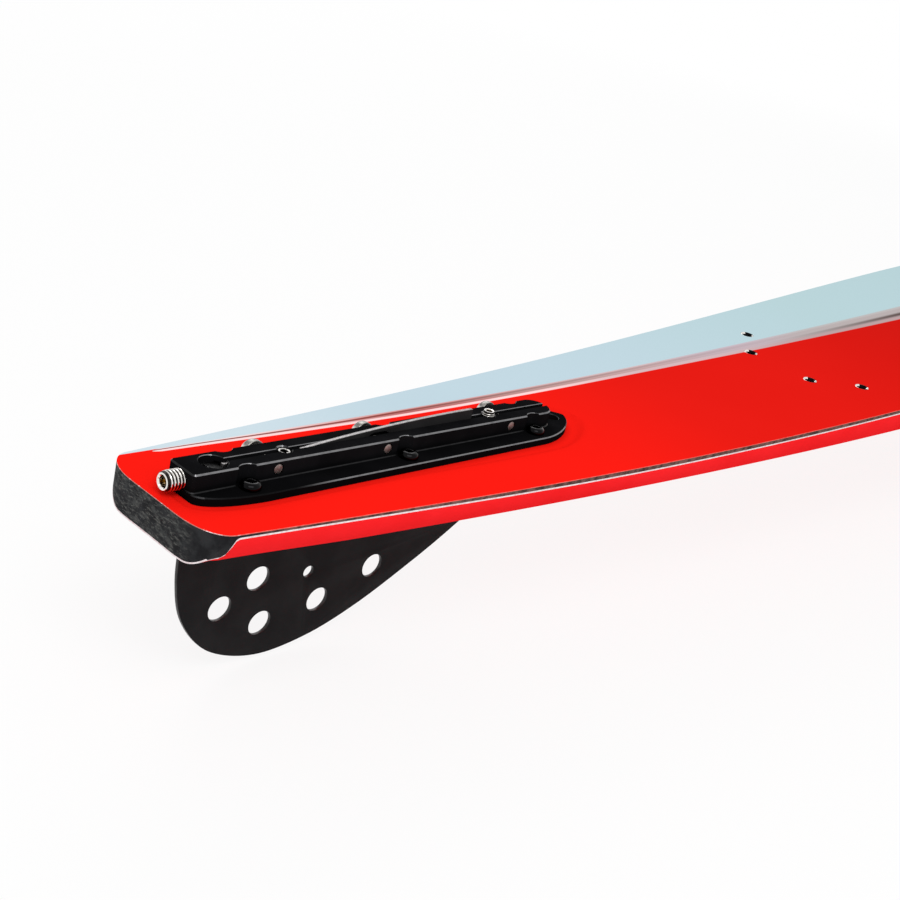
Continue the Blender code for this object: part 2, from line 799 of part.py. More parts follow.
def pocket_shape():
    bm = bmesh.new()
    bm_bar(bm, (POCKET_X, 0, YOKE_TOP - 1 * mm), (POCKET_X, 0, JAW_TOP + 5 * mm), POCKET_RADIUS, 20)
    return bm


def stud_shape():
    """The hollow threaded stud, from its socket end to its button, along Z."""
    bm = bmesh.new()
    rear = BLOCK_REAR - STUD_OUT
    body = STUD_INNER_END - rear
    chamfer = 0.4 * mm
    profile = [
        (STUD_SOCKET_RADIUS, STUD_SOCKET_DEPTH),
        (STUD_SOCKET_RADIUS, 0.0),
        (STUD_RADIUS - chamfer, 0.0),
        (STUD_RADIUS, chamfer),
        (STUD_RADIUS, body),
        (NECK_RADIUS, body),
        (NECK_RADIUS, body + NECK_LENGTH),
        (BUTTON_RADIUS, body + NECK_LENGTH),
        (BUTTON_RADIUS, body + NECK_LENGTH + BUTTON_LENGTH),
    ]
    turn = Matrix.Rotation(math.pi / 2, 4, "Y")
    bm_revolve(bm, profile, ROUND, Matrix.Translation((rear, 0, STUD_Z)) @ turn)
    return bm


def yoke_shape():
    bm = bmesh.new()
    low = (YOKE_REAR, -YOKE_HALF_WIDTH, YOKE_BOTTOM)
    high = (YOKE_FRONT, YOKE_HALF_WIDTH, YOKE_TOP)
    bm_box(bm, low, high)
    return bm


def yoke_seat_shape():
    """The open seat that holds the stud's neck."""
    bm = bmesh.new()
    end = STUD_INNER_END + NECK_LENGTH + 0.5 * mm
    neck = NECK_RADIUS + GAP
    bm_box(bm, (YOKE_REAR - 1 * mm, -neck, STUD_Z - neck), (end, neck, YOKE_TOP + 3 * mm))
    return bm


def yoke_button_seat_shape():
    """The wider part of that seat, round the stud's button."""
    bm = bmesh.new()
    button_start = STUD_INNER_END + NECK_LENGTH - GAP
    button_end = button_start + BUTTON_LENGTH + 2 * GAP
    button = BUTTON_RADIUS + GAP
    bm_box(bm, (button_start, -button, STUD_Z - button), (button_end, button, YOKE_TOP + 3 * mm))
    return bm


def yoke_slit_shape():
    bm = bmesh.new()
    half = FIN_THICKNESS / 2 + SLIDE_GAP
    rear = FIN_TAB_REAR - 2 * GAP
    bm_box(bm, (rear, -half, YOKE_BOTTOM - 1 * mm), (YOKE_FRONT + 1 * mm, half, YOKE_TOP + 1 * mm))
    return bm


def yoke_pin_hole_shape():
    bm = bmesh.new()
    reach = YOKE_HALF_WIDTH + 1 * mm
    bm_bar(
        bm,
        (YOKE_PIN_X, -reach, YOKE_PIN_Z),
        (YOKE_PIN_X, reach, YOKE_PIN_Z),
        YOKE_PIN_RADIUS + GAP,
    )
    return bm


def yoke_pin_shape():
    bm = bmesh.new()
    bm_bar(
        bm,
        (YOKE_PIN_X, -YOKE_HALF_WIDTH, YOKE_PIN_Z),
        (YOKE_PIN_X, YOKE_HALF_WIDTH, YOKE_PIN_Z),
        YOKE_PIN_RADIUS,
        12,
    )
    return bm


def depth_screw_shape(bottom, top):
    bm = bmesh.new()
    chamfer = 0.3 * mm
    profile = [
        (DEPTH_SCREW_RADIUS - chamfer, bottom),
        (DEPTH_SCREW_RADIUS, bottom + chamfer),
        (DEPTH_SCREW_RADIUS, top - chamfer),
        (DEPTH_SCREW_RADIUS - chamfer, top),
    ]
    bm_revolve(bm, profile + bm_socket(top, DEPTH_SOCKET_RADIUS, DEPTH_SOCKET_DEPTH))
    return bm


def shoe_shape():
    bm = bmesh.new()
    bm_revolve(bm, [(SHOE_RADIUS, SHOE_BOTTOM), (SHOE_RADIUS, SHOE_TOP)])
    return bm


def shoe_slit_shape(x):
    bm = bmesh.new()
    half = FIN_THICKNESS / 2 + SLIDE_GAP
    reach = SHOE_RADIUS + 1 * mm
    bm_box(bm, (x - reach, -half, SHOE_BOTTOM - 1 * mm), (x + reach, half, FIN_REST_Z + GAP))
    return bm


def catmull(points, steps):
    """A smooth curve through points, ends included."""
    ext = [points[0]] + list(points) + [points[-1]]
    curve = []
    for i in range(1, len(ext) - 2):
        p0, p1, p2, p3 = (Vector(point) for point in ext[i - 1 : i + 3])
        for k in range(steps):
            t = k / steps
            a = 2 * p1 + (p2 - p0) * t
            b = (2 * p0 - 5 * p1 + 4 * p2 - p3) * t * t
            c = (3 * p1 - p0 - 3 * p2 + p3) * t**3
            curve.append((a + b + c) / 2)
    curve.append(Vector(points[-1]))
    return curve


def blade_point(along, down):
    """A point of the blade from its shares of length and depth."""
    return Vector((FIN_REAR + along * FIN_LENGTH, base_height(0) - down * FIN_DEPTH))


def arch_height(x):
    reach = FIN_ARCH_FRONT - FIN_ARCH_REAR
    return FIN_ARCH_TOP - FIN_ARCH_SAG * ((FIN_ARCH_FRONT - x) / reach) ** 2


def clamp_notch_half():
    return CLAMP_RADIUS + GAP + LENGTH_TRAVEL


def fin_outline():
    """The blade's side view, clockwise from the top of its trailing edge."""
    below = [blade_point(0, 0)]
    below += [blade_point(*share) for share in BLADE_OUTLINE]
    below += [blade_point(1, 0)]
    points = [Vector((FIN_REAR, FIN_SHOULDER))]
    points += catmull(below, 3)
    points += [
        Vector((FIN_REAR + FIN_LENGTH, base_height(0) + 0.4 * TAIL_THICKNESS)),
        Vector((FIN_FRONT_TOP, FIN_CLAMP_NOTCH_Z)),
    ]
    half = clamp_notch_half()
    front, rear = CLAMP_X[2], CLAMP_X[0]
    points += [
        Vector((front - half, FIN_CLAMP_NOTCH_Z)),
        Vector((front - half, FIN_REST_Z)),
        Vector((FIN_ARCH_FRONT, FIN_REST_Z)),
    ]
    arch_steps = 10
    span = FIN_ARCH_FRONT - FIN_ARCH_REAR
    for i in range(arch_steps + 1):
        x = FIN_ARCH_FRONT - span * i / arch_steps
        points.append(Vector((x, arch_height(x))))
    points += [
        Vector((FIN_ARCH_REAR - 1 * mm, FIN_REST_Z)),
        Vector((rear + half, FIN_REST_Z)),
        Vector((rear + half, FIN_CLAMP_NOTCH_Z)),
        Vector((rear - half, FIN_CLAMP_NOTCH_Z)),
        Vector((rear - half, FIN_TAB_TOP)),
        Vector((FIN_TAB_REAR, FIN_TAB_TOP)),
        Vector((FIN_TAB_REAR, FIN_SHOULDER)),
    ]
    return points


def fin_shape():
    bm = bmesh.new()
    outline = fin_outline()
    rings = [[Vector((p.x, y, p.y)) for p in outline] for y in (-FIN_THICKNESS / 2, FIN_THICKNESS / 2)]
    bm_loft(bm, rings)
    return bm


def fin_holes_shape():
    bm = bmesh.new()
    reach = 2 * FIN_THICKNESS
    for along, down in BLADE_HOLES:
        p = blade_point(along, down)
        bm_bar(bm, (p.x, -reach, p.y), (p.x, reach, p.y), FIN_HOLE_RADIUS, 20)
    p = blade_point(*BLADE_PILOT)
    bm_bar(bm, (p.x, -reach, p.y), (p.x, reach, p.y), FIN_PILOT_RADIUS, 12)
    return bm


def slot_prism(bm, outline, reach):
    """A prism across the fin from an outline in X and Z."""
    bm_loft(bm, [[Vector((x, y, z)) for x, z in outline] for y in (-reach, reach)])


def fin_windows_shape():
    """The openings for the middle clamp screw and for the yoke's pin."""
    bm = bmesh.new()
    reach = 2 * FIN_THICKNESS
    middle = CLAMP_X[1]
    outline = obround(middle - FIN_WINDOW_LENGTH / 2, middle + FIN_WINDOW_LENGTH / 2, FIN_WINDOW_HEIGHT, 3)
    slot_prism(bm, [(x, z + CLAMP_Z) for x, z in outline], reach)
    half_x = YOKE_PIN_RADIUS + GAP
    half_z = YOKE_PIN_RADIUS + GAP + DEPTH_TRAVEL
    pin = obround(-half_z, half_z, 2 * half_x, 3)
    slot_prism(bm, [(YOKE_PIN_X + z, YOKE_PIN_Z + x) for x, z in pin], reach)
    return bm


def build_ski(red, core_black, base_red):
    core = add("core", core_shape(), core_black)
    base = add("base_sheet", base_sheet_shape(), base_red)
    top = add("top_sheet", top_sheet_shape(), red)
    corners = cutter("tail_corner_cutter", tail_corner_shape())
    slot = cutter("fin_slot_cutter", fin_slot_shape())
    fuse(top, cutter("seat_pan", seat_pan_shape()))
    cut(top, cutter("seat_cutter", seat_shape()))
    cut(core, cutter("core_seat_cutter", core_seat_shape()))
    for piece in (core, base, top):
        cut(piece, corners)
        cut(piece, slot)
    cut(core, cutter("core_hole_cutter", core_holes_shape()))
    cut(top, cutter("top_hole_cutter", top_holes_shape()))


def build_inserts(steel, brass):
    for name, x, y in each_binding_insert():
        bm = binding_insert_shape()
        bmesh.ops.transform(bm, matrix=insert_frame(x, y), verts=bm.verts)
        add(name, bm, steel)
    for name, x, y in each_flange_screw():
        bm = block_insert_shape()
        place = Matrix.Translation((x, y, -SEAT_DEPTH - TOP_SHEET - GAP))
        bmesh.ops.transform(bm, matrix=place, verts=bm.verts)
        add(f"block_insert_{name}", bm, brass)


def build_block(anodised, steel, black_steel):
    block = add("fin_block", flange_shape(), anodised)
    fuse(block, cutter("jaws", jaws_shape()))
    cut(block, cutter("block_slot_cutter", block_slot_shape()))
    cut(block, cutter("flange_hole_cutter", flange_hole_shape()))
    cut(block, cutter("notch_cutter", notch_shape()))
    cut(block, cutter("flange_bore_cutter", block_bores_shape()))
    cut(block, cutter("clamp_bore_cutter", clamp_bores_shape()))
    cut(block, cutter("clamp_head_seat_cutter", clamp_head_seats_shape()))
    cut(block, cutter("depth_bore_cutter", depth_bores_shape()))
    cut(block, cutter("rear_cavity_cutter", rear_cavity_shape()))
    cut(block, cutter("stud_bore_cutter", stud_bore_shape()))
    cut(block, cutter("pocket_cutter", pocket_shape()))
    for name, x, y in each_flange_screw():
        bm = flange_screw_shape()
        place = Matrix.Translation((x, y, FLANGE_TOP + GAP))
        bmesh.ops.transform(bm, matrix=place, verts=bm.verts)
        add(f"flange_screw_{name}", bm, black_steel)
    for place, x in zip(("rear", "middle", "front"), CLAMP_X):
        bm = clamp_screw_shape()
        turn = Matrix.Rotation(-math.pi / 2, 4, "X")
        matrix = Matrix.Translation((x, JAW_WIDTH / 2 + GAP, CLAMP_Z)) @ turn
        bmesh.ops.transform(bm, matrix=matrix, verts=bm.verts)
        add(f"clamp_screw_{place}", bm, steel)


def axis_empty(name, pivot):
    made = bpy.data.objects.new(name, None)
    bpy.context.scene.collection.objects.link(made)
    made.location = on_origin() + Vector(pivot)
    return made


def build_length_adjuster(steel, anodised):
    axis = axis_empty("fin_length_axis", (YOKE_REAR, 0, STUD_Z))
    yoke = add("length_yoke", yoke_shape(), anodised, (YOKE_REAR, 0, STUD_Z), axis)
    cut(yoke, cutter("yoke_neck_cutter", yoke_seat_shape()))
    cut(yoke, cutter("yoke_button_cutter", yoke_button_seat_shape()))
    cut(yoke, cutter("yoke_slit_cutter", yoke_slit_shape()))
    cut(yoke, cutter("yoke_pin_cutter", yoke_pin_hole_shape()))
    add("yoke_pin", yoke_pin_shape(), steel, (YOKE_PIN_X, 0, YOKE_PIN_Z), axis)
    add("length_screw", stud_shape(), steel, (BLOCK_REAR, 0, STUD_Z), axis)
    return axis


def build_depth_adjusters(steel, anodised):
    for place, x, top in zip(("rear", "front"), DEPTH_X, DEPTH_SCREW_TOP):
        axis = axis_empty(f"depth_{place}_axis", (x, 0, 0))
        bm = shoe_shape()
        bmesh.ops.translate(bm, verts=bm.verts, vec=(x, 0, 0))
        shoe = add(f"depth_shoe_{place}", bm, anodised, (x, 0, 0), axis)
        cut(shoe, cutter(f"shoe_slit_cutter_{place}", shoe_slit_shape(x)))
        bm = depth_screw_shape(SHOE_TOP + GAP, top)
        bmesh.ops.translate(bm, verts=bm.verts, vec=(x, 0, 0))
        add(f"depth_screw_{place}", bm, steel, (x, 0, 0), axis)


def build_fin(anodised, parent):
    fin = add("fin", fin_shape(), anodised, (FIN_REAR, 0, 0), parent)
    cut(fin, cutter("fin_hole_cutter", fin_holes_shape()))
    cut(fin, cutter("fin_window_cutter", fin_windows_shape()))


def main():
    for old in list(bpy.data.objects):
        bpy.data.objects.remove(old, do_unlink=True)
    red = finish("deck_red", (0.80, 0.02, 0.015), 0.3, 0.0)
    base_red = finish("base_red", (0.82, 0.03, 0.04), 0.35, 0.0)
    core_black = finish("core_carbon", (0.04, 0.042, 0.045), 0.7, 0.0)
    black = finish("anodised_black", (0.012, 0.012, 0.014), 0.35, 0.8)
    black_steel = finish("black_oxide_steel", (0.02, 0.02, 0.02), 0.3, 0.9)
    steel = finish("stainless_steel", (0.72, 0.71, 0.68), 0.22, 1.0)
    brass = finish("insert_brass", (0.7, 0.52, 0.25), 0.35, 1.0)
    build_ski(red, core_black, base_red)
    build_inserts(steel, brass)
    build_block(black, steel, black_steel)
    axis = build_length_adjuster(steel, black)
    build_depth_adjusters(steel, black)
    build_fin(black, axis)


main()
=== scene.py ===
"""Slalom water ski on a pale floor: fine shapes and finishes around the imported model.

Lengths are in metres. The shape functions use the tail's frame: x from the tail's end towards the tip,
y to the left of the rider, z up from the deck at the tail.
"""

import math
from contextlib import contextmanager

import bmesh
import bpy
from mathutils import Matrix, Vector


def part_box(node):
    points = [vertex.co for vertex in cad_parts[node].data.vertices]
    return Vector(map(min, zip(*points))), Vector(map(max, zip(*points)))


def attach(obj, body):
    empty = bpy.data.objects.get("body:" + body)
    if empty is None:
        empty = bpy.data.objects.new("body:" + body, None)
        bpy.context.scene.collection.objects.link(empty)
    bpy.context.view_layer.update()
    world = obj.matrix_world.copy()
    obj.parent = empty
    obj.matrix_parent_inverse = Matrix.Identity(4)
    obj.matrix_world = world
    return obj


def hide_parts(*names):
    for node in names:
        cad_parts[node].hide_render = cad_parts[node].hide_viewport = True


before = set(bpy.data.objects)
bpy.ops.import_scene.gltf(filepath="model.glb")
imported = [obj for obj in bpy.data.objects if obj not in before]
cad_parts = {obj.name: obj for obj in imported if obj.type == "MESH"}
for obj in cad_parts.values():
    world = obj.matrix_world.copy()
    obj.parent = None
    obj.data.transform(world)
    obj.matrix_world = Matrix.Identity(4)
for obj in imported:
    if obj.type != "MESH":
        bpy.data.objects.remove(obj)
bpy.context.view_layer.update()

mm = 0.001
SHARP_ANGLE = 32
BEVEL_ANGLE = 50

# Ski body, as in the solids apart from fuller corners and a lower side wall at the tail
SKI_LENGTH = 1702 * mm
TAIL_WIDTH = 60.2 * mm
WIDEST_WIDTH = 172.8 * mm
WIDEST_AT = 1000 * mm
TAIL_TAPER = 1.812
TIP_FULLNESS = 2.2
TIP_CUT = 1 * mm
TAIL_END_WIDTH = 22.2 * mm
TAIL_CORNER_LENGTH = 10.5 * mm
TAIL_CORNER_FULLNESS = 0.42
CORNER_CUT = 7 * mm
TAIL_THICKNESS = 14.1 * mm
MIDDLE_THICKNESS = 23.2 * mm
TIP_THICKNESS = 8 * mm
THICKENING_START = 40 * mm
THICKENING_END = 780 * mm
THINNING_START = 900 * mm
TAIL_LEVEL = 96 * mm
TAIL_ROCKER = 12.4 * mm
ROCKER_START = 600 * mm
TIP_ROCKER = 52 * mm
TIP_ROCKER_POWER = 2.6
SIDE_WALL = 3.4 * mm
BEVEL_WIDTH = 12 * mm
TAIL_WALL_LOSS = 1.2 * mm
TAIL_BLEND = (8 * mm, 70 * mm)
MOST_WALL_SHARE = 0.35
MOST_BEVEL_SHARE = 0.6
TAIL_BEVEL_POWER = 1.14
TUNNEL_DEPTH = 5.5 * mm
TUNNEL_START = 20 * mm
TUNNEL_FULL = 420 * mm
TUNNEL_FADE = 1250 * mm
TUNNEL_LEAST = 0.15 * mm
EDGE_DROP = 1.15 * mm
EDGE_DROP_GAIN = 0.85 * mm
EDGE_DROP_TAIL = 2.1 * mm
EDGE_BLEND = (10 * mm, 230 * mm)
EDGE_TAIL_END = 11.5 * mm
SLOT_WIDTH = 2.6 * mm
SLOT_REAR = 10.3 * mm
SLOT_FRONT = 197.5 * mm
SEAT_DEPTH = 0.5 * mm
SEAT_MARGIN = 5 * mm
SEAT_MARGIN_REAR = 2.2 * mm
SEAT_BLEND = (60 * mm, 190 * mm)
SEAT_REACH = 14 * mm
SEAT_REACH_ASIDE = 13 * mm
SEAT_ROUND = 1.2 * mm
SEAT_SLOPE = 0.95
SEAT_SOFT = 0.22 * mm

# Sheets as thin as the real ones look, and the places of their cross-sections
SKIN = 0.3 * mm
SHELL = 0.55 * mm
WHITE_EDGE = 0.62 * mm
WHITE_CORNER_END = 12 * mm
WHITE_ROUND = 0.12 * mm
BEVEL_ROUND = 17.5 * mm
LAYER_GAP = 0.02 * mm
TAIL_RUN = 12.5 * mm
TAIL_STEP = 0.68 * mm
BLOCK_RUN = 232 * mm
BODY_STEP = 11 * mm
TIP_START = 0.55
TIP_STEPS = 36
DECK_COLUMNS = 88

# Fin block
BLOCK_REAR = 8.8 * mm
FLANGE_FULL_AT = 37 * mm
FLANGE_NARROWS_AT = 176 * mm
BLOCK_FRONT = 204.5 * mm
FLANGE_WIDTH = 30.8 * mm
FLANGE_TOP = 2.6 * mm
FLANGE_CHAMFER = 0.4 * mm
JAW_WIDTH = 13.8 * mm
JAW_TOP = 9.2 * mm
JAW_CHAMFER = 0.5 * mm
JAW_NOSE = 190 * mm
JAW_CORNER = 1.6 * mm
JAW_FOOT = 0.35 * mm
FINE_CHAMFER = 0.22 * mm
FLANGE_SCREW_X = (30.3 * mm, 103 * mm, 175 * mm)
FLANGE_SCREW_Y = 9.6 * mm
FLANGE_SCREW_RADIUS = 2 * mm
FLANGE_HEAD_RADIUS = 3.8 * mm
FLANGE_HEAD_HEIGHT = 2.3 * mm
FLANGE_SOCKET = 1.3 * mm
NOTCH_RADIUS = 4.7 * mm
CLAMP_X = (43.9 * mm, 94.6 * mm, 162.5 * mm)
CLAMP_Z = 5.8 * mm
CLAMP_RADIUS = 2 * mm
CLAMP_HEAD_RADIUS = 4.4 * mm
CLAMP_HEAD_HEIGHT = 3.6 * mm
CLAMP_SOCKET = 1.35 * mm
SCREW_PITCH = 0.7 * mm
GAP = 0.3 * mm
LENGTH_TRAVEL = 2 * mm
STUD_Z = 5 * mm
STUD_RADIUS = 3.6 * mm
STUD_SOCKET = 1.95 * mm
STUD_NECK_RADIUS = 1.5 * mm
STUD_BUTTON_RADIUS = 2.5 * mm
STUD_OUT = 6.6 * mm
STUD_INNER_END = 15.5 * mm
STUD_PITCH = 1.25 * mm
POCKET_X = 21.3 * mm
POCKET_RADIUS = 5 * mm
YOKE_TOP = 7 * mm
YOKE_REAR = 16.2 * mm
YOKE_FRONT = 31 * mm
YOKE_HALF_WIDTH = 3.6 * mm
DEPTH_TRAVEL = 1.5 * mm
DEPTH_X = (51 * mm, 154.8 * mm)
DEPTH_SCREW_RADIUS = 2.5 * mm
DEPTH_SOCKET = 1.25 * mm
DEPTH_PITCH = 0.8 * mm
DEPTH_SCREW_TOP = (8.6 * mm, 10.7 * mm)
SHOE_RADIUS = 2.9 * mm
SHOE_TOP = 4.4 * mm
FIN_REST_Z = 3.4 * mm
JAW_SLOT_REAR = 26 * mm
JAW_SLOT_FRONT = BLOCK_FRONT - 7.5 * mm
SLOT_END_X = BLOCK_FRONT - 8 * mm
SLOT_END_RADIUS = 3.2 * mm
BEYOND = 5 * mm

# Fin blade
FIN_THICKNESS = 1.6 * mm
FIN_REAR = 13.3 * mm
FIN_LENGTH = 175.5 * mm
FIN_DEPTH = 60.6 * mm
FIN_SHOULDER = -2.5 * mm
FIN_TAB_REAR = 25 * mm
FIN_TAB_TOP = 7.9 * mm
FIN_CLAMP_NOTCH_Z = 2 * mm
FIN_ARCH_REAR = 58 * mm
FIN_ARCH_FRONT = 144 * mm
FIN_ARCH_TOP = 12.9 * mm
FIN_ARCH_SAG = 4.5 * mm
FIN_FRONT_TOP = 186.5 * mm
FIN_WINDOW_LENGTH = 12.6 * mm
FIN_WINDOW_HEIGHT = 8.2 * mm
FIN_HOLE_RADIUS = 4.85 * mm
FIN_PILOT_RADIUS = 2.35 * mm
YOKE_PIN_X = 28 * mm
YOKE_PIN_Z = 3.6 * mm
YOKE_PIN_RADIUS = 1.2 * mm
BLADE_OUTLINE = (
    (0.005, 0.33), (0.035, 0.625), (0.112, 0.874), (0.236, 0.998),
    (0.372, 0.968), (0.502, 0.846), (0.639, 0.653), (0.774, 0.430),
)
BLADE_HOLES = ((0.122, 0.594), (0.208, 0.452), (0.234, 0.774), (0.384, 0.719), (0.531, 0.576))
BLADE_PILOT = (0.343, 0.495)

# Binding inserts
BINDING_ROWS = [(381.2 * mm, 18.8 * mm)]
BINDING_ROWS += [(x * mm, 36.9 * mm) for x in (404.2, 610, 648, 715, 753, 865, 903)]
INSERT_RADIUS = 3.6 * mm
INSERT_LENGTH = 10 * mm
INSERT_BORE = 2.5 * mm
INSERT_PITCH = 0.8 * mm
INSERT_ROOM = 0.05 * mm
INSERT_RIM = 0.15 * mm
INSERT_LEAD = 0.7 * mm
INSERT_THREAD_END = 8 * mm
# Painted glints and shade on the inserts: a rim keeps its steel only towards this way and straight away
# from it, and is painted dark between.
GLINT_WAY = Vector((-0.5, 0.866))
PAINTED_SHADE_SPAN = (-0.88, 0.45)

# The line between the red and the pale blue of the deck
RED_LINE = (
    (0.0, 0.0282), (0.037, 0.02725), (0.076, 0.02583), (0.131, 0.0246), (0.2025, 0.02384), (0.305, 0.0226),
    (0.4106, 0.0193), (0.536, 0.01506), (0.8, 0.0075), (1.2, -0.006), (1.702, -0.022),
)
RED_LINE_SPAN = 0.1
BLUE_LINE = 29.8 * mm

# Stage and camera
FLOOR_REACH = 80.0
FLOOR_LEVEL = -2 * mm
FLOOR_GREY = 0.86
FLOOR_FADE = (0.9, 2.2)
FLOOR_NEAR_WHITE = 0.86
WORLD_LIGHT = 0.62
CAMERA_PLACE = Vector((-250.42, -325.57, 205.0)) * mm
CAMERA_RIGHT = Vector((0.64757, -0.72412, 0.23712))
CAMERA_DOWN = Vector((-0.11804, -0.40281, -0.90763))
CAMERA_AHEAD = Vector((0.75273, 0.55985, -0.34635))
CAMERA_LENS = 55.561
CAMERA_SHIFT = (-0.09763, -0.03665)

ORIGIN = Vector((-SKI_LENGTH / 2 + TIP_CUT / 2, 0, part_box("fin_block")[1].z - JAW_TOP))


# Shape functions


def quarter_turn(steps):
    return [math.pi / 2 * i / steps for i in range(steps + 1)]


def smooth_step(value, start, end):
    u = min(max((value - start) / (end - start), 0.0), 1.0)
    return u**3 * (10 - 15 * u + 6 * u**2)


def half_width(x):
    if x <= WIDEST_AT:
        spread = (WIDEST_WIDTH - TAIL_WIDTH) / 2
        return WIDEST_WIDTH / 2 - spread * (1 - x / WIDEST_AT) ** TAIL_TAPER
    u = (x - WIDEST_AT) / (SKI_LENGTH - WIDEST_AT)
    return WIDEST_WIDTH / 2 * math.sqrt(1 - u**TIP_FULLNESS)


def plan_half(x):
    """Half width with the tail's corners rounded. Inside CORNER_CUT the tail is cut instead."""
    if x >= TAIL_CORNER_LENGTH:
        return half_width(x)
    full = half_width(TAIL_CORNER_LENGTH)
    u = max(x, CORNER_CUT) / TAIL_CORNER_LENGTH
    grown = (1 - (1 - u) ** 2) ** TAIL_CORNER_FULLNESS
    return TAIL_END_WIDTH / 2 + (full - TAIL_END_WIDTH / 2) * grown


def thickness(x):
    gain = (MIDDLE_THICKNESS - TAIL_THICKNESS) * smooth_step(x, THICKENING_START, THICKENING_END)
    loss = (MIDDLE_THICKNESS - TIP_THICKNESS) * smooth_step(x, THINNING_START, SKI_LENGTH)
    return TAIL_THICKNESS + gain - loss


def base_height(x):
    run = ROCKER_START - TAIL_LEVEL
    if x < ROCKER_START:
        return -TAIL_THICKNESS + TAIL_ROCKER * (max(x - TAIL_LEVEL, 0.0) / run) ** 2
    ahead = x - ROCKER_START
    tip = TIP_ROCKER * (ahead / (SKI_LENGTH - ROCKER_START)) ** TIP_ROCKER_POWER
    return -TAIL_THICKNESS + TAIL_ROCKER + 2 * TAIL_ROCKER / run * ahead + tip


def deck_height(x):
    return base_height(x) + thickness(x)


def wall_height(x):
    tail = 1 - smooth_step(x, *TAIL_BLEND)
    return min(SIDE_WALL - TAIL_WALL_LOSS * tail, MOST_WALL_SHARE * thickness(x))


def side_point(x, inset, q):
    """A point of the right half: q is 0 to 1 down the side, to 2 round the bevel, to 3 at the middle."""
    wall = wall_height(x)
    half = plan_half(x)
    bevel = min(BEVEL_WIDTH, MOST_BEVEL_SHARE * half)
    inner = half - bevel
    if q <= 1:
        return half - inset, deck_height(x) - q * wall
    if q <= 2:
        turn = (q - 1) * math.pi / 2
        fall = thickness(x) - wall - inset
        power = TAIL_BEVEL_POWER + (1 - TAIL_BEVEL_POWER) * smooth_step(x, *TAIL_BLEND)
        out = max(math.cos(turn), 0.0) ** power
        down = math.sin(turn) ** power
        return inner + (bevel - inset) * out, deck_height(x) - wall - fall * down
    rise = smooth_step(x, TUNNEL_START, TUNNEL_FULL) - smooth_step(x, TUNNEL_FADE, SKI_LENGTH)
    depth = TUNNEL_LEAST + (TUNNEL_DEPTH - TUNNEL_LEAST) * max(rise, 0.0)
    crown = depth * 0.5 * (1 + math.cos(math.pi * (3 - q)))
    return inner * (3 - q), base_height(x) + inset + crown


def side_edge(x):
    """The place of the base sheet's edge on the side, as q. It is a little lower at the tail."""
    drop = EDGE_DROP + EDGE_DROP_GAIN * smooth_step(x, *EDGE_BLEND)
    drop += EDGE_DROP_TAIL * (1 - smooth_step(x, CORNER_CUT, EDGE_TAIL_END))
    return drop / wall_height(x)


def catmull(points, steps):
    ends = [points[0], *points, points[-1]]
    curve = []
    for p0, p1, p2, p3 in zip(ends, ends[1:], ends[2:], ends[3:]):
        for k in range(steps):
            t = k / steps
            b = (2 * p0 - 5 * p1 + 4 * p2 - p3) * t * t
            c = (3 * p1 - p0 - 3 * p2 + p3) * t**3
            curve.append((2 * p1 + (p2 - p0) * t + b + c) / 2)
    return curve + [points[-1]]


# Mesh tools


def skin(bm, rings, marked=()):
    """Quads between rings of vertices of equal length. Those at the marked places get the second finish."""
    count = len(rings[0])
    for low, high in zip(rings, rings[1:]):
        for i in range(count):
            j = (i + 1) % count
            bm.faces.new((low[i], low[j], high[j], high[i])).material_index = int(i in marked)


def sheet_ends(bm, rings):
    """Closes both ends of a sheet, whose rings go out along one face and back along the other."""
    for ring, turn in ((rings[0], 1), (rings[-1], -1)):
        for i in range(len(ring) // 2 - 1):
            bm.faces.new([ring[i], ring[i + 1], ring[-2 - i], ring[-1 - i]][::turn])


def loft(bm, rings):
    made = [[bm.verts.new(point) for point in ring] for ring in rings]
    skin(bm, made)
    bm.faces.new(made[0][::-1])
    bm.faces.new(made[-1])


def turned(bm, profile, matrix, segments=48):
    """Turns (radius, height) pairs round Z. A radius may be a function of the angle and the height."""
    rings = []
    for radius, height in profile:
        ring = []
        for i in range(segments):
            turn = 2 * math.pi * i / segments
            r = radius(turn, height) if callable(radius) else radius
            ring.append(matrix @ Vector((r * math.cos(turn), r * math.sin(turn), height)))
        rings.append(ring)
    loft(bm, rings)


def hexagon(across):
    """Radius of a hexagon with this half width across its flats."""
    return lambda turn, _: across / math.cos((turn + math.pi / 6) % (math.pi / 3) - math.pi / 6)


def thread(root, crest, pitch, start, end, inside=False):
    """Profile pairs of a helical thread that fades out at its ends."""
    rows_per_turn, steepness, root_flat, fade_turns = 8, 1.6, 0.15, 0.8
    rows = max(int((end - start) / (pitch / rows_per_turn)), 2)

    def radius(turn, height):
        phase = ((height / pitch - turn / (2 * math.pi)) % 1.0) * 2
        ridge = min(max(steepness * (1 - abs(phase - 1)) - root_flat, 0.0), 1.0)
        run = min(height - start, end - height) / (fade_turns * pitch)
        ridge *= min(max(run, 0.0), 1.0)
        return root + (crest - root) * (1 - ridge if inside else ridge)

    return [(radius, start + (end - start) * k / rows) for k in range(rows + 1)]


def socket(top, across, depth):
    """Profile pairs of a hexagonal socket sunk into a flat top, with a small lead-in."""
    flats = hexagon(across)
    sides = [(across * 1.22, top), (flats, top - 0.12 * across), (flats, top - depth)]
    return sides + [(0.02 * mm, top - depth - 0.35 * across)]


def dome(radius, height, flat, rise, steps):
    """Profile pairs of a domed head: flat and rise are the shares of its flat top and its straight rim."""
    pairs = []
    for turn in quarter_turn(steps):
        out, up = flat + (1 - flat) * math.cos(turn), rise + (1 - rise) * math.sin(turn)
        pairs.append((radius * out, height * up))
    return pairs


def rectangle(x_low, x_high, half):
    return [(x_low, -half), (x_high, -half), (x_high, half), (x_low, half)]


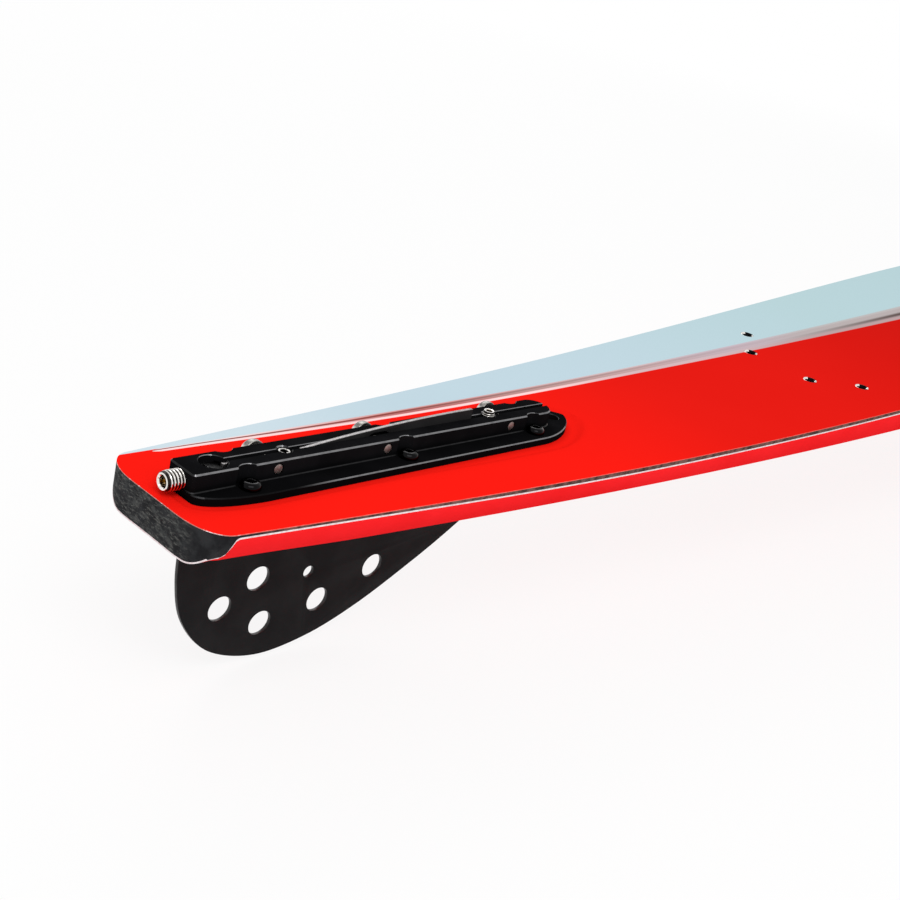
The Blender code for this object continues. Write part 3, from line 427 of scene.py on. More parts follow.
def bar(bm, start, end, radius, segments=40):
    along = Vector(end) - Vector(start)
    turn = Vector((0, 0, 1)).rotation_difference(along).to_matrix().to_4x4()
    turned(bm, [(radius, 0), (radius, along.length)], Matrix.Translation(start) @ turn, segments)


def obround(x_low, x_high, width, steps=24):
    radius = width / 2
    points = []
    for centre, start in ((x_high - radius, -90), (x_low + radius, 90)):
        for i in range(steps + 1):
            turn = math.radians(start + 180 * i / steps)
            points.append((centre + radius * math.cos(turn), radius * math.sin(turn)))
    return points


def levels(bm, *steps):
    """Loft of plan outlines at their heights."""
    loft(bm, [[Vector((x, y, height)) for x, y in outline] for height, outline in steps])


def closed_outline(right):
    """These points of the right half of an outline, and their mirror images on the way back."""
    return [(x, -y) for x, y in right] + right[-2::-1]


def linked(name, data):
    made = bpy.data.objects.new(name, data)
    bpy.context.scene.collection.objects.link(made)
    return made


def made_object(name, bm, finishes=()):
    bmesh.ops.translate(bm, verts=bm.verts, vec=ORIGIN)
    bmesh.ops.recalc_face_normals(bm, faces=bm.faces)
    mesh = bpy.data.meshes.new(name)
    bm.to_mesh(mesh)
    bm.free()
    for finish in finishes:
        mesh.materials.append(finish)
    return linked(name, mesh)


def apply_all(target):
    graph = bpy.context.evaluated_depsgraph_get()
    mesh = bpy.data.meshes.new_from_object(target.evaluated_get(graph))
    target.modifiers.clear()
    old = target.data
    target.data = mesh
    bpy.data.meshes.remove(old)
    mesh.name = target.name


@contextmanager
def cutting(target, operation="DIFFERENCE"):
    """Gives an empty mesh to fill with solids, and then applies them to the target as one exact Boolean."""
    bm = bmesh.new()
    yield bm
    tool = made_object("tool", bm)
    modifier = target.modifiers.new("tool", "BOOLEAN")
    modifier.operation = operation
    modifier.solver = "EXACT"
    modifier.object = tool
    apply_all(target)
    bpy.data.objects.remove(tool, do_unlink=True)


def bevelled(target, width):
    modifier = target.modifiers.new("edges", "BEVEL")
    modifier.width = width
    modifier.segments = 2
    modifier.limit_method = "ANGLE"
    modifier.angle_limit = math.radians(BEVEL_ANGLE)
    modifier.use_clamp_overlap = True
    apply_all(target)


def settle(target, body, slot, *nodes):
    """Shades a piece and puts it on its body, in the place of the solids that it dresses."""
    target.data.shade_smooth()
    target.data.set_sharp_from_angle(angle=math.radians(SHARP_ANGLE))
    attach(target, body)
    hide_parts(*nodes)


def turned_piece(name, finish, profile, matrix, body, slot, node, segments=48):
    bm = bmesh.new()
    turned(bm, profile, matrix, segments)
    settle(made_object(name, bm, (finish,)), body, slot, node)


# Finishes


class Value:
    """A number in a node graph, with arithmetic that makes Math nodes."""

    def __init__(self, graph, socket):
        self.graph = graph
        self.socket = socket

    def __add__(self, other):
        return self.graph.math("ADD", self, other)

    def __sub__(self, other):
        return self.graph.math("SUBTRACT", self, other)

    def __rsub__(self, other):
        return self.graph.math("SUBTRACT", other, self)

    def __mul__(self, other):
        return self.graph.math("MULTIPLY", self, other)

    def __truediv__(self, other):
        return self.graph.math("DIVIDE", self, other)

    __radd__ = __add__
    __rmul__ = __mul__


class Graph:
    """A node tree that is written as arithmetic."""

    def __init__(self, tree):
        self.nodes = tree.nodes
        self.links = tree.links

    def node(self, kind, inputs=None, **settings):
        made = self.nodes.new(kind)
        for key, value in settings.items():
            setattr(made, key, value)
        for key, value in (inputs or {}).items():
            self.feed(made.inputs[key], value)
        return made

    def feed(self, socket, value):
        if isinstance(value, Value):
            value = value.socket
        if isinstance(value, bpy.types.NodeSocket):
            self.links.new(value, socket)
        else:
            socket.default_value = value

    def math(self, operation, *values):
        made = self.node("ShaderNodeMath", dict(enumerate(values)), operation=operation)
        return Value(self, made.outputs[0])

    def ramp(self, value, low, high, start=0.0, end=1.0):
        """A smooth step from start to end, as the value goes from low to high."""
        inputs = {"Value": value, "From Min": low, "From Max": high, "To Min": start, "To Max": end}
        made = self.node("ShaderNodeMapRange", inputs, interpolation_type="SMOOTHSTEP")
        return Value(self, made.outputs[0])

    def line(self, value, centre, half, soft):
        """1 within half of the centre, fading over soft."""
        return self.ramp(self.math("ABSOLUTE", value - centre), half + soft, half - soft)

    def mix(self, share, first, second):
        made = self.node("ShaderNodeMix", {0: share}, data_type="RGBA")
        for socket, value in ((made.inputs[6], first), (made.inputs[7], second)):
            self.feed(socket, (*value, 1.0) if isinstance(value, tuple) else value)
        return made.outputs[2]

    def shades(self, value, color, *changes):
        """A colour that turns into each (low, high, colour) as the value goes from its low to its high."""
        for low, high, following in changes:
            color = self.mix(self.ramp(value, low, high), color, following)
        return color


class Finish(Graph):
    """The node tree of a material, with places on the ski in the tail's frame."""

    def __init__(self, name):
        self.material = bpy.data.materials.new(name)
        self.material.use_nodes = True
        super().__init__(self.material.node_tree)
        self.place = self.node("ShaderNodeTexCoord").outputs["Object"]
        apart = self.node("ShaderNodeSeparateXYZ", {0: self.place}).outputs
        self.x = Value(self, apart[0]) - ORIGIN.x
        self.y = Value(self, apart[1])
        self.z = Value(self, apart[2]) - ORIGIN.z

    def noise(self, scale, detail=3.0, rough=0.55, stretch=(1, 1, 1), distortion=0.0):
        at = self.node("ShaderNodeMapping", {"Vector": self.place, "Scale": stretch}).outputs[0]
        inputs = {"Vector": at, "Scale": scale, "Detail": detail, "Roughness": rough}
        made = self.node("ShaderNodeTexNoise", {**inputs, "Distortion": distortion})
        return Value(self, made.outputs[0])

    def surface(self, color, roughness, grain, strength, distance, metallic=0.0, specular=0.5):
        """Feeds the shader, with the grain as its bump, and gives the material."""
        relief = self.node("ShaderNodeBump", {"Height": grain, "Strength": strength, "Distance": distance})
        given = {"Base Color": color, "Roughness": roughness, "Normal": relief.outputs[0]}
        given.update({"Metallic": metallic, "Specular IOR Level": specular})
        for key, value in given.items():
            self.feed(self.nodes["Principled BSDF"].inputs[key], value)
        return self.material


def deck_finish():
    """Lacquered deck: red with a pale blue side, and a group of fine lines between them. The red carries
    painted shade that darkens it along the ski.
    """
    g = Finish("deck_lacquer")
    red_line = g.node("ShaderNodeFloatCurve", {"Value": g.x / SKI_LENGTH})
    curve = red_line.mapping.curves[0]
    while len(curve.points) < len(RED_LINE):
        curve.points.new(0.5, 0.5)
    for point, (x, y) in zip(curve.points, RED_LINE):
        point.location = (x / SKI_LENGTH, 0.5 + y / RED_LINE_SPAN)
    red_line.mapping.update()
    red_at = (Value(g, red_line.outputs[0]) - 0.5) * RED_LINE_SPAN
    blue_at = BLUE_LINE - g.ramp(g.x, 0.3, 0.54, 0.0, 1.2 * mm) - g.math("MAXIMUM", g.x - 0.6, 0.0) * 0.028
    t = (blue_at - g.y) / (blue_at - red_at)

    # Painted shade: the red darkens from the tail towards the front.
    early, late = (0.15, 0.3, (0.745, 0.011, 0.007)), (0.3, 0.58, (0.6, 0.0095, 0.0065))
    red = g.shades(g.x, (0.93, 0.0115, 0.0065), early, late)
    red = g.mix(g.ramp(g.noise(14, 2), 0.35, 0.75, 0.0, 0.12), red, (0.62, 0.006, 0.004))
    early, late = (0.03, 0.15, (0.5, 0.63, 0.7)), (0.2, 0.5, (0.455, 0.615, 0.645))
    blue = g.shades(g.x, (0.6, 0.7, 0.755), early, late)
    blue = g.mix(g.ramp(g.noise(9, 2), 0.3, 0.8, 0.0, 0.2), blue, (0.47, 0.62, 0.7))

    early, late = (0.04, 0.14, (0.66, 0.32, 0.31)), (0.15, 0.27, (0.62, 0.46, 0.47))
    near_blue = g.shades(g.x, (0.88, 0.68, 0.68), early, late)
    early, late = (0.28, 0.36, (0.54, 0.45, 0.5)), (0.38, 0.46, (0.49, 0.46, 0.46))
    near_blue = g.shades(g.x, near_blue, early, late)
    early, late = (0.19, 0.3, (0.62, 0.44, 0.46)), (0.33, 0.46, (0.47, 0.34, 0.345))
    near_red = g.shades(g.x, (1.0, 0.66, 0.66), early, late)
    bands = g.mix(g.ramp(t, 0.6, 0.78), near_blue, near_red)
    first_at = 0.29 + g.ramp(g.x, 0.03, 0.07) * g.ramp(g.x, 0.14, 0.1) * 0.11
    first = g.line(t, first_at, 0.14, 0.06) * g.ramp(g.x, 0.16, 0.42, 0.95, 0.2)
    bands = g.mix(first, bands, g.mix(g.ramp(g.x, 0.12, 0.22), (0.26, 0.05, 0.04), (0.33, 0.19, 0.18)))
    second = g.line(t, 0.55, 0.09, 0.06) * g.ramp(g.x, 0.1, 0.14) * g.ramp(g.x, 0.2, 0.42, 0.9, 0.15)
    bands = g.mix(second, bands, g.mix(g.ramp(g.x, 0.14, 0.22), (0.42, 0.09, 0.09), (0.44, 0.25, 0.23)))
    third = g.line(t, 0.6, 0.12, 0.1) * g.ramp(g.x, 0.38, 0.58)
    bands = g.mix(third, bands, (0.1, 0.065, 0.06))

    rounded_end = g.x - (t - 0.5) * (t - 0.5) * 12 * mm
    color = g.mix(g.ramp(t, 1.04, 0.96) * g.ramp(rounded_end, 18.3 * mm, 19 * mm), red, bands)
    soft = g.ramp(g.x, 0.3, 0.5, 0.12 * mm, 0.72 * mm)
    color = g.mix(g.ramp(g.y, blue_at - soft, blue_at + soft), color, blue)
    roughness = g.ramp(g.noise(900, 2, 0.6, (0.05, 1, 1)), 0.45, 0.75, 0.28, 0.42)
    return g.surface(color, roughness, g.noise(420, 2), 0.05, 0.3 * mm, specular=0.0)


def laminate_finish():
    """Cut laminate: charcoal with paler fibre streaks and specks on the far side, brown along the ski."""
    g = Finish("cut_laminate")
    clouds = g.noise(150, 5, 0.6)
    patches = g.noise(420, 4, 0.6, (1.0, 0.5, 1.0))
    streaks = g.noise(1150, 5, 0.68, (1.0, 0.32, 1.0), 0.5)
    specks = Value(g, g.node("ShaderNodeTexVoronoi", {"Vector": g.place, "Scale": 900.0}).outputs[0])
    charcoal = g.mix(g.ramp(clouds, 0.36, 0.66), (0.0135, 0.0135, 0.015), (0.03, 0.031, 0.033))
    brown = g.mix(g.ramp(g.noise(260, 4, 0.7), 0.36, 0.62), (0.055, 0.032, 0.027), (0.19, 0.1, 0.085))
    color = g.mix(g.ramp(g.x, 13 * mm, 30 * mm), charcoal, brown)
    rough_cut = g.ramp(g.y, -23.5 * mm, -12.5 * mm)
    color = g.mix(g.ramp(patches, 0.48, 0.66, 0.0, 0.65) * rough_cut, color, (0.085, 0.088, 0.086))
    color = g.mix(g.ramp(streaks, 0.5, 0.66, 0.0, 0.7) * rough_cut, color, (0.145, 0.145, 0.135))
    color = g.mix(g.ramp(specks, 0.13, 0.06, 0.0, 0.45) * rough_cut, color, (0.32, 0.33, 0.34))
    roughness = g.ramp(clouds, 0.3, 0.7, 0.5, 0.75)
    return g.surface(color, roughness, streaks + 0.6 * clouds, 0.55, 0.4 * mm, specular=0.03)


def side_finish():
    """The base sheet: a slightly mottled red, with fine scratches along it."""
    g = Finish("base_sheet_red")
    red = g.mix(g.ramp(g.noise(30, 3), 0.3, 0.75), (1.0, 0.022, 0.027), (0.94, 0.016, 0.019))
    roughness = g.ramp(g.noise(700, 3, 0.6, (0.06, 1, 1)), 0.4, 0.75, 0.26, 0.42)
    return g.surface(red, roughness, g.noise(300, 3), 0.06, 0.3 * mm, specular=0.0)


def pale_edge_finish():
    """The base sheet's white edge, chafed in places. The white band stands partly for the sheet's pale cut
    edge and partly for a painted highlight along its rounding.
    """
    g = Finish("pale_edge")
    grain = g.noise(800, 4, 0.6)
    color = g.mix(g.ramp(grain, 0.35, 0.7), (0.9, 0.84, 0.85), (0.75, 0.55, 0.57))
    return g.surface(color, g.ramp(grain, 0.3, 0.7, 0.4, 0.6), grain, 0.2, 0.2 * mm, specular=0.4)


def deck_edge_finish():
    """The deck sheet's cut edge: red paint along the side, bare and pinkish with pale chips at the tail."""
    g = Finish("deck_edge")
    chips = g.noise(620, 3, 0.6)
    bare = g.mix(g.ramp(chips, 0.5, 0.68), (0.55, 0.2, 0.17), (0.95, 0.85, 0.85))
    painted = g.mix(g.ramp(chips, 0.35, 0.65), (0.85, 0.1, 0.075), (0.9, 0.19, 0.16))
    color = g.mix(g.ramp(g.x, 4 * mm, 16 * mm), bare, painted)
    return g.surface(color, 0.5, chips, 0.2, 0.2 * mm, specular=0.1)


def anodised_finish(name, color, pale, specular):
    """Black anodised metal with dust specks, and painted shade that darkens it low on the block's sides."""
    g = Finish(name)
    fine = g.noise(2200, 2, 0.6, (0.12, 1, 1))
    base = g.mix(g.ramp(g.noise(60, 4), 0.35, 0.7), color, pale)
    base = g.mix(g.ramp(g.noise(5200, 1), 0.71, 0.78, 0.0, 0.25), base, (0.12, 0.12, 0.12))
    # Painted shade: darker from just below the deck to above the flange, behind the block's front.
    low = g.ramp(g.z, 5.5 * mm, 3 * mm) * g.ramp(g.z, -4 * mm, -2 * mm) * g.ramp(g.x, 192 * mm, 182 * mm)
    base = g.mix(low * 0.6, base, (0.002, 0.002, 0.0022))
    return g.surface(base, g.ramp(fine, 0.3, 0.7, 0.34, 0.5), fine, 0.12, 0.1 * mm, specular=specular)


def metal_finish(name, color, dark, roughness, scale=900, fade=None):
    """Metal with darker patches and a fine grain. It goes black where fade makes 0."""
    g = Finish(name)
    fine = g.noise(scale, 3, 0.6)
    base = g.mix(g.ramp(g.noise(scale / 4, 4), 0.4, 0.75, 0.0, 0.8), color, dark)
    if fade:
        base = g.mix(fade(g), (0.006, 0.006, 0.0065), base)
    return g.surface(base, g.ramp(fine, 0.3, 0.7, *roughness), fine, 0.08, 0.1 * mm, 1.0)


def flange_edge_fade(g):
    """0 on the flange's rear curve, 1 along its straight sides and on the jaws: where the painted edge
    highlight shows.
    """
    return g.math("MAXIMUM", g.ramp(g.x, 45 * mm, 68 * mm), g.ramp(g.z, 3.5 * mm, 4.5 * mm))


def arch_fade(g):
    """1 on the arch of the blade's top edge, 0.2 on the rest of its edges; the brighter arch is a painted
    highlight.
    """
    return g.ramp(g.z, 2.5 * mm, 4.5 * mm, 0.2, 1.0)


def clamp_steel():
    """Steel of the clamp screws: dull domes with a painted highlight at their lower rim, and dull tips."""
    g = Finish("clamp_steel")
    fine = g.noise(1500, 3, 0.6)
    patches = g.ramp(g.noise(650, 3), 0.38, 0.68)
    dome_color = g.mix(patches, (0.26, 0.25, 0.235), (0.13, 0.125, 0.115))
    # Painted highlight over the lower part of the domes.
    dome_color = g.mix(g.ramp(g.z, 8.9 * mm, 7.6 * mm), dome_color, (0.8, 0.77, 0.72))
    tip = g.mix(patches, (0.34, 0.3, 0.28), (0.22, 0.18, 0.165))
    head = g.ramp(g.y, -1 * mm, 1 * mm)
    roughness = g.ramp(fine, 0.3, 0.7, 0.22, 0.36) + (1 - head) * 0.25
    return g.surface(g.mix(head, tip, dome_color), roughness, fine, 0.06, 0.1 * mm, 1.0)


def screw_finish(name, axis, socket_size, root, crest, gold, painted_brightness=1.0, painted_shade_from=None):
    """Steel of one screw, with painted shade in its socket, between its threads and, when asked, along its
    part inside the block.

    The axis holds two coordinates of the screw's middle line, and None for the one that it runs along.
    """
    g = Finish(name)
    first, second = [place - at for place, at in zip((g.x, g.y, g.z), axis) if at is not None]
    r = g.math("SQRT", first * first + second * second)
    fine = g.noise(1600, 3, 0.6)
    # Painted shade: the steel's colour is scaled down for a screw that sits in shade.
    light = tuple(painted_brightness * part for part in (0.93, 0.9, 0.86))
    dull = tuple(painted_brightness * part for part in (0.66, 0.63, 0.58))
    bright = g.mix(g.ramp(g.noise(500, 3), 0.4, 0.7, 0.0, 0.7), light, dull)
    # Painted shade between the threads, steel on their crests.
    ridge = g.ramp(r, root + 0.35 * (crest - root), crest - 0.04 * (crest - root))
    threads = g.mix(ridge, (0.022, 0.019, 0.017), bright)
    face = g.mix(g.ramp(r, root - 0.25 * mm, root - 0.1 * mm), bright, threads)
    # Painted shade in the socket, with gold streaks.
    hollow = g.mix(g.ramp(g.noise(420, 2), 0.45, 0.6, 0.0, gold), (0.02, 0.017, 0.013), (0.75, 0.52, 0.16))
    color = g.mix(g.ramp(r, socket_size + 0.02 * mm, socket_size + 0.12 * mm), hollow, face)
    # Painted shade over the screw's part inside the block.
    if painted_shade_from:
        color = g.mix(g.ramp(g.x, *painted_shade_from), color, (0.012, 0.012, 0.013))
    return g.surface(color, g.ramp(fine, 0.3, 0.7, 0.07, 0.2), fine, 0.05, 0.1 * mm, 1.0)


# Ski body


def spaced(start, end, step):
    count = max(int(round((end - start) / step)), 1)
    return [start + (end - start) * i / count for i in range(1, count + 1)]


def stations(step):
    """Places of the cross-sections: close at the tail, a step apart along the block, then wider."""
    body_end = WIDEST_AT + TIP_START * (SKI_LENGTH - WIDEST_AT)
    tip_length = SKI_LENGTH - TIP_CUT - body_end
    found = [0.0] + spaced(0.0, TAIL_RUN, TAIL_STEP) + spaced(TAIL_RUN, BLOCK_RUN, step)
    found += spaced(BLOCK_RUN, body_end, BODY_STEP)
    return found + [body_end + tip_length * math.sin(turn) for turn in quarter_turn(TIP_STEPS)[1:]]


def flange_outline(margin=0.0, steps=28):
    half = FLANGE_WIDTH / 2
    rear_half = JAW_WIDTH / 2
    rear, front = FLANGE_FULL_AT - BLOCK_REAR, BLOCK_FRONT - FLANGE_NARROWS_AT
    right = []
    for turn in quarter_turn(steps):
        out = rear_half + (half - rear_half) * math.sin(turn)
        right.append((FLANGE_FULL_AT - rear * math.cos(turn), out))
    for turn in quarter_turn(steps):
        u = math.sin(turn)
        right.append((FLANGE_NARROWS_AT + front * u, half * (1 - u**1.8) ** 0.7))
    points = closed_outline(right)
    if not margin:
        return points
    moved = []
    for i, (x, y) in enumerate(points):
        (x0, y0), (x1, y1) = points[i - 1], points[(i + 1) % len(points)]
        normal = Vector((y1 - y0, x0 - x1)).normalized()
        moved.append((x + margin * normal.x, y + margin * normal.y))
    return moved


def distance_outside(x, y, outline):
    """Signed distance of a point to an outline, positive outside."""
    best = 1.0
    inside = False
    for (ax, ay), (bx, by) in zip(outline[-1:] + outline, outline):
        ex, ey = bx - ax, by - ay
        u = ((x - ax) * ex + (y - ay) * ey) / (ex * ex + ey * ey + 1e-18)
        u = min(max(u, 0.0), 1.0)
        best = min(best, math.hypot(x - ax - u * ex, y - ay - u * ey))
        if (ay > y) != (by > y) and x < ax + (y - ay) / (by - ay) * ex:
            inside = not inside
    return -best if inside else best


def recessed(x, y, outline):
    """Height of the deck with the soft-edged recess round the block."""
    deck = deck_height(x)
    if x > BLOCK_FRONT + SEAT_REACH or abs(y) > FLANGE_WIDTH / 2 + SEAT_REACH_ASIDE:
        return deck
    margin = SEAT_MARGIN_REAR + (SEAT_MARGIN - SEAT_MARGIN_REAR) * smooth_step(x, *SEAT_BLEND)
    away = max(distance_outside(x, y, outline) - margin, 0.0)
    side = SEAT_SLOPE * away**2 / (SEAT_ROUND + away) - SEAT_DEPTH
    share = min(max((side - deck) / SEAT_SOFT * 0.5 + 0.5, 0.0), 1.0)
    return side * (1 - share) + deck * share - SEAT_SOFT * share * (1 - share)


def cut_tail_corners(target):
    """Takes off what the tail's rounded corners lose, right at its end."""
    reach = 40 * mm
    end_half = TAIL_END_WIDTH / 2
    full = half_width(TAIL_CORNER_LENGTH)
    last = CORNER_CUT - 0.05 * mm
    arc = []
    for turn in quarter_turn(24):
        x = last * (1 - math.cos(turn))
        grown = (1 - (1 - x / TAIL_CORNER_LENGTH) ** 2) ** TAIL_CORNER_FULLNESS
        arc.append((x, end_half + (full - end_half) * grown))
    outline = [(-reach, end_half), *arc, (last, full + reach), (-reach, full + reach)]
    with cutting(target) as corners:
        for side in (1, -1):
            loft(corners, [[Vector((x, side * y, z)) for x, y in outline] for z in (-30 * mm, 10 * mm)])


def cut_fin_slot(target):
    outline = obround(SLOT_REAR, SLOT_FRONT, SLOT_WIDTH)
    with cutting(target) as slot:
        levels(slot, (-45 * mm, outline), (8 * mm, outline))


def insert_frame(x, y):
    slope = math.atan2(deck_height(x + mm) - deck_height(x - mm), 2 * mm)
    return Matrix.Translation((x, y, deck_height(x))) @ Matrix.Rotation(-slope, 4, "Y")


def each_insert():
    for row, (x, half_spacing) in enumerate(BINDING_ROWS, 1):
        for side, sign in (("right", -1), ("left", 1)):
            yield f"{row}_{side}", x, sign * half_spacing


def cut_insert_holes(target, bottom):
    radius = INSERT_RADIUS + INSERT_ROOM
    with cutting(target) as holes:
        for _, x, y in each_insert():
            turned(holes, [(radius, bottom), (radius, 3 * mm)], insert_frame(x, y), 40)


def mark_cut_faces(target):
    """Gives the faces of the tail's cut the second finish."""
    for face in target.data.polygons:
        at_end = face.center.x - ORIGIN.x < CORNER_CUT
        if at_end and abs(face.normal.z) < 0.25 and face.normal.x < -0.08:
            face.material_index = 1


def build_deck(lacquer, edge):
    seat = flange_outline(steps=16)
    bm = bmesh.new()
    rings = []
    for x in stations(2.2 * mm):
        half = plan_half(x)
        places = [-half + 2 * half * j / DECK_COLUMNS for j in range(DECK_COLUMNS + 1)]
        top = [Vector((x, y, recessed(x, y, seat))) for y in places]
        low = [Vector((x, p.y, p.z - SKIN)) for p in reversed(top)]
        rings.append([bm.verts.new(point) for point in top + low])
    skin(bm, rings, (DECK_COLUMNS, 2 * DECK_COLUMNS + 1))
    sheet_ends(bm, rings)
    deck = made_object("deck_sheet", bm, (lacquer, edge))
    cut_tail_corners(deck)
    mark_cut_faces(deck)
    cut_insert_holes(deck, -3 * mm)
    settle(deck, "ski", "deck", "top_sheet")


def both_sides(right):
    """The places of a section's right half, and of its left half on the way back."""
    return right + [(-y, z) for y, z in reversed(right[:-1])]


def further(q, length, wall):
    """The place that lies this length further round the section."""
    left = (1 - q) * wall
    if length <= left:
        return q + length / wall
    return max(q, 1.0) + (length - max(left, 0.0)) / BEVEL_ROUND


def run_of_q(first, wall, pale):
    """Places down the side, round the bevel and across to the middle, always as many."""
    white = further(first, pale, wall)
    bend = 1.0 if white < 0.98 else white + 0.004
    turn = max(2.0, bend + 0.02)
    run = [first, further(first, WHITE_ROUND, wall), white, bend]
    run += [bend + (turn - bend) * k / 9 for k in range(1, 10)]
    return run + [turn + (3 - turn) * k / 9 for k in range(1, 10)]


def build_core(laminate):
    bm = bmesh.new()
    rings = []
    for x in stations(5 * mm):
        top = (SKIN + LAYER_GAP) / wall_height(x)
        edge = side_edge(x)
        right = [side_point(x, 0.0, top + (edge - 0.01 - top) * k / 4) for k in range(5)]
        right += [side_point(x, SHELL + LAYER_GAP, edge + (3 - edge) * k / 16) for k in range(17)]
        rings.append([Vector((x, y, z)) for y, z in both_sides(right)])
    loft(bm, rings)
    core = made_object("ski_core", bm, (laminate,))
    seat = flange_outline(SEAT_MARGIN + 1.5 * mm, 16)
    wide = flange_outline(SEAT_MARGIN + 5 * mm, 16)
    with cutting(core) as room:
        levels(room, (-SEAT_DEPTH - SKIN - 0.4 * mm, seat), (1.6 * mm, wide), (12 * mm, wide))
    cut_tail_corners(core)
    cut_fin_slot(core)
    cut_insert_holes(core, -INSERT_LENGTH - 0.1 * mm)
    settle(core, "ski", "core", "core")


def build_shell(red, pale):
    bm = bmesh.new()
    rings = []
    for x in stations(5 * mm):
        # The pale band at the sheet's top edge is partly a painted highlight along its rounding.
        pale_width = WHITE_EDGE * (1.5 - 0.5 * smooth_step(x, CORNER_CUT, WHITE_CORNER_END))
        run = run_of_q(side_edge(x), wall_height(x), pale_width)
        outer = both_sides([side_point(x, 0.0, q) for q in run])
        inner = both_sides([side_point(x, SHELL, q) for q in run])
        rings.append([bm.verts.new((x, y, z)) for y, z in outer + inner[::-1]])
    half = len(rings[0]) // 2
    skin(bm, rings, (0, 1, half - 3, half - 2, half - 1, 2 * half - 1))
    sheet_ends(bm, rings)
    shell = made_object("base_shell", bm, (red, pale))
    cut_tail_corners(shell)
    mark_cut_faces(shell)
    cut_fin_slot(shell)
    settle(shell, "ski", "base", "base_sheet")


def build_inserts(steel, dark):
    bore = INSERT_BORE
    profile = [(INSERT_RADIUS, -INSERT_LENGTH), (INSERT_RADIUS, -INSERT_RIM)]
    profile += [(INSERT_RADIUS - INSERT_RIM, 0.0), (bore + 0.75 * mm, 0.0), (bore + 0.1 * mm, -INSERT_LEAD)]
    ends = (-INSERT_THREAD_END, -INSERT_LEAD - 0.05 * mm)
    profile += thread(bore - 0.35 * mm, bore + 0.1 * mm, INSERT_PITCH, *ends, inside=True)[::-1]
    for name, x, y in each_insert():
        bm = bmesh.new()
        turned(bm, profile, insert_frame(x, y), 40)
        insert = made_object(f"threaded_insert_{name}", bm, (steel, dark))
        middle = insert_frame(x, y).translation + ORIGIN
        # Painted shade on the rim between the two painted glints, and in the bore below the rim.
        for face in insert.data.polygons:
            away = (face.center - middle).xy.normalized().dot(GLINT_WAY)
            in_bore = face.center.z < middle.z - 0.72 * mm
            face.material_index = int(PAINTED_SHADE_SPAN[0] < away < PAINTED_SHADE_SPAN[1] or in_bore)
        settle(insert, "ski", "steel", f"binding_insert_{name}")


# Fin block


def jaw_outline(inset=0.0):
    half = JAW_WIDTH / 2 - inset
    front = JAW_NOSE - JAW_WIDTH / 2
    corner = max(JAW_CORNER - inset, 0.2 * mm)
    rear = BLOCK_REAR + inset
    right = []
    for turn in reversed(quarter_turn(10)):
        right.append((rear + corner * (1 - math.sin(turn)), half - corner * (1 - math.cos(turn))))
    for turn in quarter_turn(20):
        right.append((front + half * math.sin(turn), half * math.cos(turn)))
    return closed_outline(right)


def flared(bm, x, y, radius, low, top):
    """An upright cutter that also breaks the edge at a height."""
    wide = radius + 2 * FINE_CHAMFER
    edge = (radius, top - FINE_CHAMFER), (wide, top + FINE_CHAMFER)
    turned(bm, [(radius, low), *edge, (wide, top + BEYOND)], Matrix.Translation((x, y, 0)))


def each_flange_screw():
    for place, x in zip(("rear", "middle", "front"), FLANGE_SCREW_X):
        for side, sign in (("right", -1), ("left", 1)):
            yield f"{place}_{side}", x, sign * FLANGE_SCREW_Y


